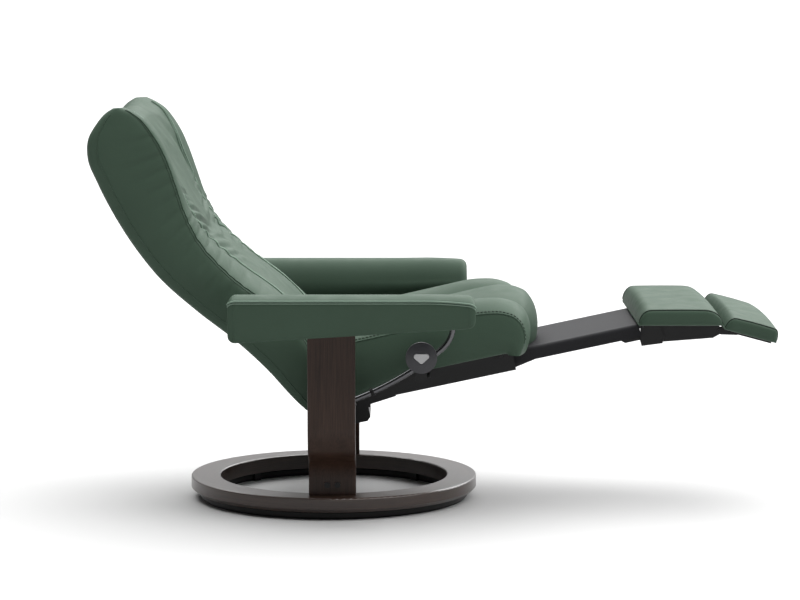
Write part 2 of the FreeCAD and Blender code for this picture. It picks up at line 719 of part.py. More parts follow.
def make_legrest_housing():
    """Box channel under the seat that the leg rest's beam runs in, its front and rear ends open."""
    body = new_body("legrest_housing")
    top = "0 - pan_thick"
    low = "0 - pan_thick - housing_high"
    half = "housing_half"
    wall = "housing_wall"
    sketch = outline(body, "YZ_Plane", [("0 - " + half, low), (half, low), (half, top), ("0 - " + half, top)])
    near = "%s - %s" % (wall, half)
    far = "%s - %s" % (half, wall)
    inner = [(near, low + " + " + wall), (far, low + " + " + wall),
             (far, top + " - " + wall), (near, top + " - " + wall)]
    add_loop(sketch, inner)
    sketch.setExpression("AttachmentOffset.Base.z", bound("housing_rear"))
    pad(body, sketch, "housing_front - housing_rear", both_ways=False)
    tilt_with_seat(body)


def beam_half():
    """Half the beam's width, from the housing that it runs in."""
    return size("housing_half") - size("beam_inset")


def beam_top():
    """Height of the beam's top in the seat's frame."""
    return -size("pan_thick") - size("housing_wall") - size("beam_play")


def make_housing_bezel():
    """Moulded rim round the housing's mouth."""
    top = -size("pan_thick")
    low = top - size("housing_high")
    half = size("housing_half")
    wall = size("housing_wall")
    start = size("housing_front")
    outer = block((start, -half, low), (start + size("bezel_long"), half, top))
    reach = beam_half() + size("beam_play")
    inner = block((start - 1, -reach, low + wall), (start + size("bezel_long") + 1, reach, top - wall))
    feature("housing_bezel", outer.cut(inner), seat_place())


def make_beam_guides():
    """Low-friction strips that the beam slides on inside the housing."""
    floor = -size("pan_thick") - size("housing_high") + size("housing_wall")
    top = beam_top() - size("beam_thick") - size("seat_gap")
    strips = []
    for side, sign in SIDES:
        inner, outer = sorted((sign * (size("ear_y") - 20), sign * (size("ear_y") - 4)))
        rear = size("housing_rear") + 6
        strips.append(block((rear, inner, floor), (size("housing_front") - 4, outer, top)))
    feature("beam_guides", Part.makeCompound(strips), seat_place())


def beam_middle():
    """Height of the actuator's axis in the seat's frame: half way down the beam."""
    return beam_top() - size("beam_thick") / 2


def make_actuator_tube():
    """Tube of the linear drive, inside the hollow beam."""
    start = Vector(size("tube_rear"), 0, beam_middle())
    end = Vector(size("tube_front"), 0, beam_middle())
    bore = rod(start.add(Vector(6, 0, 0)), end.add(Vector(5, 0, 0)), size("rod_round") + 0.5)
    feature("actuator_tube", rod(start, end, size("tube_round")).cut(bore), seat_place())


def make_actuator_rod():
    """Push rod from the tube to the block inside the beam."""
    start = Vector(size("rod_rear"), 0, beam_middle())
    end = Vector(size("block_at"), 0, beam_middle())
    feature("actuator_rod", rod(start, end, size("rod_round")), seat_place())


def unit_rear():
    """Place of the drive unit's rear face along the seat."""
    return size("tube_rear") - size("unit_behind")


def make_drive_unit():
    """Motor and gearbox casing below the seat's rear, cranked up to the actuator tube."""
    top = -size("pan_thick") - size("housing_high") - size("seat_gap")
    low = top - size("unit_deep")
    step = top - size("unit_step")
    rear = unit_rear()
    foot = rear + size("unit_foot")
    front = rear + size("unit_long")
    half = size("unit_half")
    corners = [(rear, low), (foot - 8, low), (foot, low + 8), (foot, step - 6), (foot + 5, step - 6),
               (foot + 5, step), (front, step + 6), (front, step + 14), (front - 8, top), (rear, top),
               (rear, low)]
    loop = Part.makePolygon([Vector(x, -half, z) for x, z in corners])
    motor = Part.Face(loop).extrude(Vector(0, 2 * half, 0))
    lid = beam_middle() + size("tube_round") + 5
    gears = block((rear, -half / 2, top - 1), (size("tube_rear"), half / 2, lid))
    shape = motor.fuse(gears).removeSplitter()
    under = [edge for edge in shape.Edges if edge.BoundBox.YLength > half and edge.BoundBox.ZMax < low + 9]
    feature("drive_unit", shape.makeFillet(3, under), seat_place())


def make_power_inlet():
    """Low-voltage inlet on the drive unit's rear face."""
    high = -size("pan_thick") - size("housing_high") - size("unit_deep") / 2
    face = Vector(unit_rear(), size("unit_half") / 2, high)
    back = Vector(-1, 0, 0)
    bore = Part.makeCylinder(5.5, 7, face.add(Vector(-3, 0, 0)), back)
    socket = Part.makeCylinder(8, 9, face, back).cut(bore)
    pin = Part.makeCylinder(1.3, 7, face.add(Vector(-1, 0, 0)), back)
    feature("power_inlet", socket.fuse(pin), seat_place())


def seat_point(x, y, z):
    """A place of the chair's frame, in the tilted seat's frame."""
    return seat_place().inverse().multVec(Vector(x, y, z))


def make_glide_shoe_set():
    """Four shoes that ride the rails: two at the hand wheels, two behind the uprights."""
    inner = size("rail_y") - size("shoe_thick") / 2
    outer = size("rail_y") + size("shoe_thick") / 2
    shoes = []
    for side, sign in SIDES:
        above = size("wheel_z") - rail_height(size("wheel_x")) + size("shoe_above")
        front = arc_block(size("wheel_x"), size("shoe_long"), 12, above, inner, outer, sign)
        rear = arc_block(size("shoe_x"), size("shoe_long"), 12, 12, inner, outer, sign)
        bore = size("rail_round") + size("seat_gap")
        front = front.cut(arc_slug(size("wheel_x"), 80, bore, sign))
        start = Vector(size("wheel_x"), sign * (inner - 5), size("wheel_z"))
        end = Vector(size("wheel_x"), sign * (outer + 5), size("wheel_z"))
        stud = rod(start, end, size("stud_round") + size("seat_gap"))
        shoes.append(front.cut(stud))
        shoes.append(rear.cut(arc_slug(size("shoe_x"), 80, bore, sign)))
    feature("glide_shoes", Part.makeCompound(shoes))


def make_seat_brackets(side, sign):
    """Steel angles from under the seat pan out to the two shoes of one side."""
    thick = size("bracket_thick")
    outer = size("rail_y") - size("shoe_thick") / 2
    inner = outer - thick
    under = -size("pan_thick")
    pieces = []
    for x, top in ((size("wheel_x"), size("wheel_z") + size("shoe_above")),
                   (size("shoe_x"), rail_height(size("shoe_x")) + 12)):
        along = seat_point(x, 0, rail_height(x)).x
        half = size("shoe_long") / 2
        root = size("pan_half") - size("bracket_lap")
        foot = block((along - half, root, under - thick), (along + half, inner + 0.1, under))
        foot.Placement = seat_place()
        low = min(rail_height(x) - 12, seat_place().multVec(Vector(along, 0, under - thick)).z - 2)
        wall = block((x - half, inner, low), (x + half, outer, top))
        shape = foot.fuse(wall).removeSplitter()
        hole = rod(Vector(x, inner - 5, size("wheel_z")), Vector(x, outer + 5, size("wheel_z")),
                   size("stud_round") + size("seat_gap"))
        shape = shape.cut(hole)
        if sign < 0:
            shape = shape.mirror(Vector(0, 0, 0), Vector(0, 1, 0))
        pieces.append(shape)
    feature("glide_brackets_" + side, Part.makeCompound(pieces))


def make_hand_wheel(side, sign):
    """Domed hand wheel with a recess for its insert, and a sleeve that bears on the shoe."""
    start = size("rail_y") + size("shoe_thick") / 2 + 1
    rim = size("wheel_thick") - size("wheel_dome")
    radius = size("wheel_round")
    dome = (radius ** 2 + size("wheel_dome") ** 2) / (2 * size("wheel_dome"))
    flat = size("insert_round") + 1
    drop = dome - math.sqrt(dome ** 2 - flat ** 2)
    lean = math.asin(radius / dome) / 2
    top = rim + size("wheel_dome")
    middle = Vector(dome * math.sin(lean), 0, top - dome * (1 - math.cos(lean)))
    curve = Part.Arc(Vector(radius, 0, rim), middle, Vector(0, 0, top)).toShape()
    edges = [Part.makeLine(Vector(0, 0, 0), Vector(radius - 6, 0, 0)),
             Part.makeLine(Vector(radius - 6, 0, 0), Vector(radius, 0, 6)),
             Part.makeLine(Vector(radius, 0, 6), Vector(radius, 0, rim)), curve,
             Part.makeLine(Vector(0, 0, top), Vector(0, 0, 0))]
    wheel = Part.Face(Part.Wire(edges)).revolve(Vector(0, 0, 0), Vector(0, 0, 1), 360)
    if wheel.Volume < 0:
        wheel.reverse()
    wheel = wheel.cut(insert_prism(0.6, top - drop - 2, 20))
    wheel = wheel.cut(Part.makeCylinder(size("stud_round") + 0.02, 9, Vector(0, 0, 0)))
    feature("hand_wheel_" + side, wheel, wheel_place(start, sign))
    face = insert_prism(0, top - drop - 1.7, 3.4)
    cap = [edge for edge in face.Edges if edge.BoundBox.ZMin > top - drop + 1]
    feature("wheel_insert_" + side, face.makeFillet(1.2, cap), wheel_place(start, sign))
    reach = size("shoe_thick") + size("bracket_thick") + 8
    stud = Part.makeCylinder(size("stud_round"), reach + 8.5, Vector(0, 0, -reach))
    feature("wheel_stud_" + side, stud, wheel_place(start, sign))


def insert_prism(grow, low, tall):
    """Rounded triangle with its flat side up, as the insert in the wheel's face or the recess for it."""
    radius = size("insert_round") + grow
    corner = size("insert_corner") + grow
    reach = radius - corner
    tips = [Vector(reach, reach * 0.38, 0), Vector(0, -reach * 0.55, 0), Vector(-reach, reach * 0.38, 0)]
    hulls = [Part.makeCylinder(corner, tall, tip.add(Vector(0, 0, low))) for tip in tips]
    shape = hulls[0]
    for i in range(3):
        start = tips[i]
        end = tips[(i + 1) % 3]
        run = end.sub(start)
        out = Vector(run.y, -run.x, 0).multiply(-corner / run.Length)
        if out.dot(start.add(end)) < 0:
            out = out.multiply(-1)
        corners = [Vector(0, 0, 0), start, start.add(out), end.add(out), end]
        loop = Part.makePolygon([point.add(Vector(0, 0, low)) for point in corners + corners[:1]])
        shape = shape.fuse(Part.Face(loop).extrude(Vector(0, 0, tall)))
    for other in hulls[1:]:
        shape = shape.fuse(other)
    return shape.removeSplitter()


def wheel_place(start, sign):
    """Where a hand wheel sits: its own Z points away from the seat and its own Y stays up."""
    axis = Vector(0, sign, 0)
    turn = Rotation(Vector(-sign, 0, 0), Vector(0, 0, 1), axis, "ZYX")
    return Placement(Vector(size("wheel_x"), sign * start, size("wheel_z")), turn)


# Back and head, from the tip behind the seat up to the crown
def back_half():
    """Half the back's width, from the rails that it turns between."""
    return size("rail_y") - size("back_clear")


def back_stations():
    """Sections of the back: rear point, lean, side depth, crest depth, crest distance, hollow, half width."""
    half = back_half()
    return [(-52, 228, 45, 42, 43, 150, 0, half - 12), (-67, 242, 44, 66, 70, 150, 2, half - 4),
            (-96, 273, 44, 88, 98, 150, 4, half), (-125, 306, 44, 103, 118, 150, 6, half),
            (-197, 374, 46, 106, 130, 155, 9, half), (-284, 442, 47, 104, 125, 165, 12, half),
            (-359, 509, 43, 115, 126, 180, 14, half), (-413, 577, 34, 130, 132, 198, 16, half)]


def head_stations():
    """Sections of the head from the split up, in the same order of values."""
    half = back_half()
    return [(-413, 577, 34, 130, 132, 198, 16, half), (-455, 644, 25, 145, 141, 208, 20, half),
            (-489, 711, 18, 156, 147, 218, 26, half), (-509, 762, 13, 154, 149, 232, 28, half),
            (-508, 803, 10, 131, 130, 246, 22, half - 3), (-492, 833, 8, 95, 96, 250, 14, half - 8),
            (-470, 855, 5, 56, 58, 250, 7, half - 16), (-452, 866, 3, 22, 24, 246, 2, half - 26)]


def spread(stations, shift):
    """Stations with the split section moved along the back, to leave half the split's gap."""
    moved = list(stations)
    at = 0 if shift > 0 else -1
    x, z, lean, *rest = moved[at]
    square = heading(lean + 90).multiply(shift)
    moved[at] = (x + square.x, z + square.z, lean, *rest)
    return moved


def shell_loops(stations):
    """Rear shell: back panel and side panels as one padded shape."""
    loops = []
    for x, z, lean, side, crest, reach, hollow, half in stations:
        deep = max(side - size("shell_step"), side / 2)
        ease = min(8, deep / 3)
        corners = [(-half + 10, 0), (half - 10, 0), (half, ease), (half, deep), (-half, deep), (-half, ease)]
        small = ease / 4
        loops.append(loop_at(Vector(x, 0, z), heading(lean), corners, [3, small, small, 0, small, small]))
    return loops


def pad_loops(stations):
    """Front pad: side bolsters that rise to a crest, and a hollow centre panel between them."""
    loops = []
    for x, z, lean, side, crest, reach, hollow, half in stations:
        low = max(side - size("shell_step"), side / 2) + size("seat_gap")
        edge = side - 3
        corners = [(-half, low), (half, low), (half, edge), (reach, crest), (-reach, crest), (-half, edge)]
        loops.append(loop_at(Vector(x, 0, z), heading(lean), corners, [0, 1, 5, -hollow, 5, 1]))
    return loops


def head_pivot():
    """The head's hinge, on the split between back and head, a little in from the rear face."""
    x, z, lean = head_stations()[0][:3]
    return Vector(x, 0, z).add(heading(lean).multiply(size("head_pivot_in")))


def both_sides(shape):
    """A shape drawn for the left and its mirror image for the right."""
    return shape.fuse(shape.mirror(Vector(0, 0, 0), Vector(0, 1, 0)))


def pair(shape):
    """A shape drawn for the left, with its mirror image for the right, as two solids."""
    return [shape.mirror(Vector(0, 0, 0), Vector(0, 1, 0)), shape]


def head_hinge_space():
    """Room on the split for the head's hinge ears."""
    pivot = head_pivot()
    start = pivot.add(Vector(0, size("head_y") + 4, 0))
    return both_sides(rod(start, start.add(Vector(0, 18, 0)), size("ear_space")))


def frame_y():
    """How far the back frame's side tubes stand from the middle, from the seat pan's width."""
    return size("pan_half") - size("frame_inset")


def back_pivot():
    """The back's hinge on the seat, on the middle plane."""
    return Vector(size("back_pivot_x"), 0, size("back_pivot_z"))


def hinge_space():
    """Room in the back's padding for the hinge lugs, which turn past it."""
    start = back_pivot().add(Vector(0, frame_y() - 14, 0))
    return both_sides(rod(start, start.add(Vector(0, 23, 0)), size("lug_space")))


def back_frame(grow):
    """Tube frame of the back with its hinge ears, or the space for it."""
    radius = size("frame_round") + grow
    low = Vector(size("frame_foot_x"), 0, size("frame_foot_z"))
    run = Vector(size("frame_top_x"), 0, size("frame_top_z")).sub(low)
    reach = Vector(0, frame_y(), 0)
    shape = both_sides(rod(low.add(reach), low.add(run).add(reach), radius))
    for share in (0.12, 0.5, 0.97):
        point = low.add(Vector(run).multiply(share))
        shape = shape.fuse(rod(point.sub(reach), point.add(reach), radius - 2))
    upper = head_pivot()
    inner = size("head_y") + 13
    high = 8 + grow
    strap = block((upper.x - 4, inner - grow, upper.z - high), (point.x, inner + 4 + grow, upper.z + high))
    shape = shape.fuse(both_sides(strap))
    if grow > 0:
        return shape
    lower = back_pivot()
    ear = rod(lower.add(reach).sub(Vector(0, 3, 0)), lower.add(reach).add(Vector(0, 3, 0)), 12)
    web = block((low.x, frame_y() - 3, lower.z - 12), (lower.x, frame_y() + 3, lower.z + 12))
    shape = shape.fuse(both_sides(ear)).fuse(both_sides(web))
    far = Vector(0, back_half(), 0)
    shape = shape.cut(both_sides(rod(upper, upper.add(far), size("pin_round") + 0.02)))
    return shape.cut(rod(lower.sub(far), lower.add(far), size("pin_round") + size("pin_play")))


def head_frame(grow):
    """Tube frame of the head, or the space for it."""
    radius = size("head_tube") + grow
    pivot = head_pivot()
    low = pivot.add(Vector(-3, 0, 18))
    run = Vector(size("head_top_x"), 0, size("head_top_z")).sub(low)
    reach = Vector(0, size("head_y"), 0)
    shape = both_sides(rod(low.add(reach), low.add(run).add(reach), radius))
    for share in (0.04, 0.5, 0.96):
        point = low.add(Vector(run).multiply(share))
        shape = shape.fuse(rod(point.sub(reach), point.add(reach), radius - 1))
    inner = size("head_y") + size("head_tube")
    wide = 8 + grow
    top = pivot.z + 24 + grow
    ear = block((pivot.x - wide, inner - 3, pivot.z - 8), (pivot.x + wide, inner + 4 + grow, top))
    shape = shape.fuse(both_sides(ear))
    if grow > 0:
        return shape
    far = Vector(0, back_half(), 0)
    return shape.cut(both_sides(rod(pivot, pivot.add(far), size("pin_round") + size("pin_play"))))


def make_back_and_head():
    """Back below the split and head above it: a frame, a shell and a pad each."""
    lower = spread(back_stations(), -size("split_gap") / 2)
    upper = spread(head_stations(), size("split_gap") / 2)
    space = back_frame(size("seat_gap")).fuse(hinge_space()).fuse(head_hinge_space())
    feature("back_frame", back_frame(0))
    feature("back_shell", loft(shell_loops(lower)).cut(space))
    feature("back_cushion", loft(pad_loops(lower)).cut(space))
    space = head_frame(size("seat_gap")).fuse(head_hinge_space())
    feature("head_frame", head_frame(0))
    feature("head_shell", loft(shell_loops(upper)).cut(space))
    feature("head_cushion", loft(pad_loops(upper)).cut(space))


def make_back_hinge():
    """Lugs on the seat pan's rear, the pins that the back turns on, and the head's pins."""
    pivot = back_pivot()
    inner = frame_y() - 9
    outer = frame_y() - 4
    level = seat_point(pivot.x, 0, pivot.z)
    under = -size("pan_thick")
    rear = size("seat_rear")
    corners = [(level.x - 10, level.z - 6), (level.x - 6, level.z + 9), (level.x + 7, level.z + 9),
               (rear - 3, 4), (rear - 3, under), (rear + 50, under), (rear + 50, under - 12),
               (rear - 10, under - 20), (level.x - 10, level.z - 6)]
    loop = Part.makePolygon([Vector(x, inner, z) for x, z in corners])
    plate = Part.Face(loop).extrude(Vector(0, outer - inner, 0))
    plate.transformShape(seat_place().toMatrix(), True)
    plate = plate.cut(pin_hole(pivot, inner, outer, 0.02))
    feature("back_lugs", Part.makeCompound(pair(plate)))
    pin = rod(pivot.add(Vector(0, inner - 4, 0)), pivot.add(Vector(0, frame_y() + 7, 0)), size("pin_round"))
    feature("back_pins", Part.makeCompound(pair(pin)))
    start = head_pivot().add(Vector(0, size("head_y") + size("head_tube") - 2, 0))
    pin = rod(start, head_pivot().add(Vector(0, size("head_y") + 20, 0)), size("pin_round"))
    feature("head_pins", Part.makeCompound(pair(pin)))


# Leg rest
def make_leg_beam():
    """Flat hollow beam that carries the footrest, its top edges well rounded."""
    body = new_body("leg_beam")
    top = "0 - pan_thick - housing_wall - beam_play"
    low = top + " - beam_thick"
    half = "housing_half - beam_inset"
    other = "beam_inset - housing_half"
    sketch = outline(body, "YZ_Plane", [(other, low), (half, low), (half, top), (other, top)])
    sketch.setExpression("AttachmentOffset.Base.z", bound("beam_rear"))
    pad(body, sketch, "beam_front - beam_rear", both_ways=False)
    high = beam_top()
    dress(body, "Fillet", lambda edge: edge.BoundBox.XLength > 100 and abs(edge.BoundBox.ZMax - high) < 0.01,
          "beam_round")
    near = other + " + beam_wall * 5"
    far = half + " - beam_wall * 5"
    inner = [(near, low + " + beam_wall"), (far, low + " + beam_wall"),
             (far, top + " - beam_wall"), (near, top + " - beam_wall")]
    hollow = outline(body, "YZ_Plane", inner, "Hollow")
    pocket(body, hollow)
    tilt_with_seat(body)


def make_beam_block():
    """Block inside the beam that the push rod bears on."""
    top = beam_top() - size("beam_wall")
    low = beam_top() - size("beam_thick") + size("beam_wall")
    shape = block((size("block_at"), -30, low), (size("block_at") + size("block_long"), 30, top))
    feature("beam_block", shape, seat_place())


def make_beam_wedge():
    """Tapered stop under the beam's root in three strips, which pass between the housing's guides."""
    top = beam_top() - size("beam_thick")
    floor = -size("pan_thick") - size("housing_high") + size("housing_wall")
    start = size("housing_front") + size("bezel_long") + size("seat_gap")
    low = floor + 1.5
    half = beam_half() - size("wedge_inset")
    tongue = size("tongue_half")
    clear = size("ear_y") - 2
    root = block((start - 40, -tongue, low), (start + 1, tongue, top))
    strips = []
    for near, far in ((-half, -clear), (-tongue, tongue), (clear, half)):
        corners = [(start, top), (start, low), (start + size("wedge_long"), top), (start, top)]
        loop = Part.makePolygon([Vector(x, near, z) for x, z in corners])
        strips.append(Part.Face(loop).extrude(Vector(0, far - near, 0)))
    strips[1] = strips[1].fuse(root).removeSplitter()
    feature("beam_wedge", Part.makeCompound(strips), seat_place())


def foot_hinge():
    """The footrest's hinge, ahead of the beam and below it."""
    return seat_place().multVec(Vector(size("beam_front") + size("hinge_out"), 0, -size("hinge_drop")))


def foot_ends():
    """The footrest cushion's rear and front edges."""
    rear = foot_hinge().x - size("foot_back")
    return rear, rear + size("foot_long")


def foot_floor():
    """Height of the footrest cushion's underside."""
    return foot_hinge().z + size("foot_above")


def flap_hinge():
    """The flap's hinge, just ahead of the footrest's front edge."""
    return Vector(foot_ends()[1] + size("flap_ahead"), 0, foot_hinge().z + size("flap_rise"))


def pin_hole(place, inner, outer, play):
    """A round hole along Y for a hinge pin, between two distances from the middle plane."""
    start = place.add(Vector(0, inner - 1, 0))
    return rod(start, place.add(Vector(0, outer + 1, 0)), size("pin_round") + play)


def make_beam_lugs():
    """Side lugs that reach forward from the beam to the footrest's hinge."""
    hinge = Vector(size("beam_front") + size("hinge_out"), 0, -size("hinge_drop"))
    low = beam_top() - size("beam_thick")
    lugs = []
    for side, sign in SIDES:
        inner = size("ear_y")
        outer = inner + size("ear_thick")
        rear = size("beam_front") - 46
        loop = [Vector(rear, inner, low), Vector(size("beam_front") - 4, inner, low),
                Vector(hinge.x + 6, inner, hinge.z + 8),
                Vector(hinge.x + 10, inner, hinge.z - 3), Vector(hinge.x + 2, inner, hinge.z - 10),
                Vector(size("beam_front") - 5, inner, low - 9), Vector(rear + 10, inner, low - 9),
                Vector(rear, inner, low)]
        shape = Part.Face(Part.makePolygon(loop)).extrude(Vector(0, outer - inner, 0))
        shape = shape.cut(pin_hole(hinge, inner, outer, size("pin_play")))
        if sign < 0:
            shape = shape.mirror(Vector(0, 0, 0), Vector(0, 1, 0))
        lugs.append(shape)
    feature("beam_lugs", Part.makeCompound(lugs), seat_place())


def foot_loops():
    """The footrest cushion's sections from its rear edge to its front edge."""
    rear, front = foot_ends()
    shape = [(0, 0.16, 10), (0.02, 0.5, 4), (0.08, 0.8, 1), (0.2, 1, 0),
             (0.52, 1, 0), (0.87, 0.8, 1), (0.97, 0.45, 4), (1, 0.14, 10)]
    loops = []
    for share, tall, inset in shape:
        base = Vector(rear + share * (front - rear), 0, foot_floor())
        loops.append(slab_loop(base, size("foot_half") - inset, size("foot_deep") * tall))
    return loops


def slab_loop(base, half, height):
    """A flat cushion's section: upright sides and a crowned top."""
    side = height * 0.72
    corners = [(-half, 0), (half, 0), (half, side), (-half, side)]
    return loop_at(base, Vector(0, 0, 1), corners, [0, 1, height - side, 1])


def make_footrest():
    """Footrest: pressed tray with hinge ears, its cushion and the hinge pins."""
    hinge = foot_hinge()
    flap = flap_hinge()
    base = foot_floor()
    rear = foot_ends()[0] + 10
    front = foot_ends()[1] - 8
    half = size("foot_half") - size("tray_inset")
    tray = block((rear, -half, base - size("tray_thick")), (front, half, base - size("seat_gap")))
    for side, sign in SIDES:
        inner = size("ear_y") + size("ear_thick") + 0.5
        outer = inner + size("ear_thick")
        loop = [Vector(hinge.x - 18, inner, base - 1), Vector(front, inner, base - 1),
                Vector(flap.x + 6, inner, flap.z + 4), Vector(flap.x + 6, inner, flap.z - 5),
                Vector(flap.x - 14, inner, flap.z - 16), Vector(hinge.x + 14, inner, hinge.z - 8),
                Vector(hinge.x - 4, inner, hinge.z - 9), Vector(hinge.x - 10, inner, hinge.z),
                Vector(hinge.x - 18, inner, base - 1)]
        ear = Part.Face(Part.makePolygon(loop)).extrude(Vector(0, outer - inner, 0))
        ear = ear.cut(pin_hole(hinge, inner, outer, 0.02)).cut(pin_hole(flap, inner, outer, 0.02))
        if sign < 0:
            ear = ear.mirror(Vector(0, 0, 0), Vector(0, 1, 0))
        tray = tray.fuse(ear)
    feature("footrest_tray", tray)
    feature("footrest_cushion", loft(foot_loops()))
    pins = []
    for side, sign in SIDES:
        for place in (hinge, flap):
            start = place.add(Vector(0, sign * (size("ear_y") - 6), 0))
            end = place.add(Vector(0, sign * (size("ear_y") + 2 * size("ear_thick") + 3), 0))
            pins.append(rod(start, end, size("pin_round")))
    feature("footrest_pins", Part.makeCompound(pins))


def flap_place():
    """The flap's own frame: X runs down its slope from the hinge, Z stands square on it."""
    return Placement(flap_hinge(), Rotation(Vector(0, 1, 0), size("flap_tilt")))


def make_foot_flap():
    """Small front flap of the footrest: tray, hinge ears and cushion."""
    long = size("flap_long")
    low = size("flap_lift")
    shape = [(-0.01, 0.2, 10), (0.0, 0.5, 4), (0.05, 0.82, 1), (0.16, 1, 0),
             (0.5, 1.03, 0), (0.86, 0.98, 1), (0.95, 0.75, 3), (1, 0.3, 10)]
    loops = []
    for share, tall, inset in shape:
        base = Vector(share * long, 0, low + size("seat_gap"))
        loops.append(slab_loop(base, size("foot_half") - inset, size("flap_deep") * tall))
    feature("flap_cushion", loft(loops), flap_place())
    half = size("foot_half") - size("tray_inset")
    tray = block((10, -half, low - size("tray_thick")), (long - 8, half, low))
    for side, sign in SIDES:
        inner = size("ear_y")
        outer = inner + size("ear_thick")
        corners = [(-7, 0), (-3, 7), (10, low - 1), (50, low - 1), (40, low - 12), (6, -8), (-4, -7), (-7, 0)]
        loop = [Vector(x, inner, z) for x, z in corners]
        ear = Part.Face(Part.makePolygon(loop)).extrude(Vector(0, outer - inner, 0))
        ear = ear.cut(pin_hole(Vector(0, 0, 0), inner, outer, size("pin_play")))
        if sign < 0:
            ear = ear.mirror(Vector(0, 0, 0), Vector(0, 1, 0))
        tray = tray.fuse(ear)
    feature("flap_tray", tray, flap_place())


def make_switch():
    """Rocker switch for the leg rest, on the seat pan's left edge."""
    x = size("switch_x")
    half = size("switch_long") / 2
    inner = size("pan_half")
    outer = inner + 22
    low = -size("pan_thick") - size("switch_high")
    case = block((x - half, inner - 30, low), (x + half, outer, -size("pan_thick")))
    reach = size("rocker_long") / 2
    well = block((x - reach - 1, outer - 9, low + 5), (x + reach + 1, outer + 1, low + 21))
    feature("switch_housing", case.cut(well), seat_place())
    key = block((x - reach, outer - 6, low + 6), (x + reach, outer + 1, low + 20))
    ends = [edge for edge in key.Edges if edge.BoundBox.ZLength > 10 and edge.BoundBox.YMin > outer]
    feature("switch_rocker", key.makeFillet(3, ends), seat_place())


make_floor_pad_ring()
make_base_ring()
make_glide_pads()
make_wood_ring()
make_swivel_race()
make_race_screws()
make_retainer_clips()
for side_name, side_sign in SIDES:
    make_upright(side_name, side_sign)
make_upright_bolts()
make_cross_bar()
make_cross_bar_bolts()
for side_name, side_sign in SIDES:
    make_arm(side_name, side_sign)
make_arm_plates()
for side_name, side_sign in SIDES:
    make_rail(side_name, side_sign)
make_rail_clamps()
make_rail_collars()
make_seat_cushion()
make_seat_pan()
make_legrest_housing()
make_housing_bezel()
make_beam_guides()
make_actuator_tube()
make_drive_unit()
make_power_inlet()
make_glide_shoe_set()
for side_name, side_sign in SIDES:
    make_seat_brackets(side_name, side_sign)
    make_hand_wheel(side_name, side_sign)
make_back_and_head()
make_back_hinge()
make_leg_beam()
make_beam_block()
make_actuator_rod()
make_beam_wedge()
make_beam_lugs()
make_footrest()
make_foot_flap()
make_switch()
doc.recompute()

for obj in doc.Objects:
    if "Invalid" in obj.State or "Error" in obj.State:
        raise ValueError("%s did not recompute: %s" % (obj.Label, obj.State))
for obj in parts:
    if obj.Shape.isNull() or not obj.Shape.isValid():
        raise ValueError("%s has no valid shape" % obj.Label)
    if min(solid.Volume for solid in obj.Shape.Solids) <= 0:
        raise ValueError("%s is inside out" % obj.Label)
os.makedirs("parts", exist_ok=True)
for obj in parts:
    obj.Shape.exportStep(os.path.join("parts", obj.Label + ".step"))
print(len(parts), "sub-parts written")
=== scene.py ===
import bpy
import bmesh
import math
import numpy as np
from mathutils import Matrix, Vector


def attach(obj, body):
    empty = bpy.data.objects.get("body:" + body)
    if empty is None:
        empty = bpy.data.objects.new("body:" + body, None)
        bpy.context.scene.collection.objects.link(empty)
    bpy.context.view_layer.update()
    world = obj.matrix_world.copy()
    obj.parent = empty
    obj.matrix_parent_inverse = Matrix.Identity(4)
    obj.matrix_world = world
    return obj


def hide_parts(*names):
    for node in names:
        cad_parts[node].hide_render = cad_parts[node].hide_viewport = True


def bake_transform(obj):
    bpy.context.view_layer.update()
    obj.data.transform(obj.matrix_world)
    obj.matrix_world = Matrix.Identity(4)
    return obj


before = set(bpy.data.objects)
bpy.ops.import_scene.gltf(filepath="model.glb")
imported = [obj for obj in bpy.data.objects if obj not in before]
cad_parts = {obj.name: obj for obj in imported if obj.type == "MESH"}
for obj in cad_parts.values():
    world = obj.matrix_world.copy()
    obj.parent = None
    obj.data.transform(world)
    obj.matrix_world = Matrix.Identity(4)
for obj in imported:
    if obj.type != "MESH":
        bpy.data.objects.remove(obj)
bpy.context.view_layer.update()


# Camera
# The photograph is a plain side view from the sitter's right, with a long lens a little
# above seat height, tilted down so far that the base ring shows as a flat ellipse.
camera_data = bpy.data.cameras.new("camera")
camera_data.lens = 130.05
camera_data.sensor_width = 36.0
camera = bpy.data.objects.new("camera", camera_data)
bpy.context.collection.objects.link(camera)
camera.location = (0.1464, -6.322, 1.153)
camera.rotation_euler = (math.radians(90 - 6.486), 0, 0)
bpy.context.scene.camera = camera
bpy.context.scene.view_settings.view_transform = "Standard"


# Floor and studio light
# A white sweep with no visible horizon under one wide overhead light that stands a little
# behind the chair, and a faint backdrop that is brighter behind the chair than in front.
def linear(hex_colour):
    """An sRGB hex value as the linear colour that a shader takes."""
    parts = [int(hex_colour[i:i + 2], 16) / 255 for i in (1, 3, 5)]
    return [p / 12.92 if p <= 0.04045 else ((p + 0.055) / 1.055) ** 2.4 for p in parts] + [1.0]


def add(tree, kind, settings=None, **links):
    """Adds one node, sets its properties and inputs, and links inputs that are given as sockets."""
    node = tree.nodes.new(kind)
    for key, value in (settings or {}).items():
        if hasattr(node, key):
            setattr(node, key, value)
        else:
            node.inputs[key].default_value = value
    for key, socket in links.items():
        tree.links.new(socket, node.inputs[key.replace("_", " ")])
    return node


def new_material(name):
    """A node material, the tree that takes its further nodes, and its shader."""
    material = bpy.data.materials.new(name)
    material.use_nodes = True
    tree = material.node_tree
    shader = tree.nodes["Principled BSDF"]
    return material, tree, shader


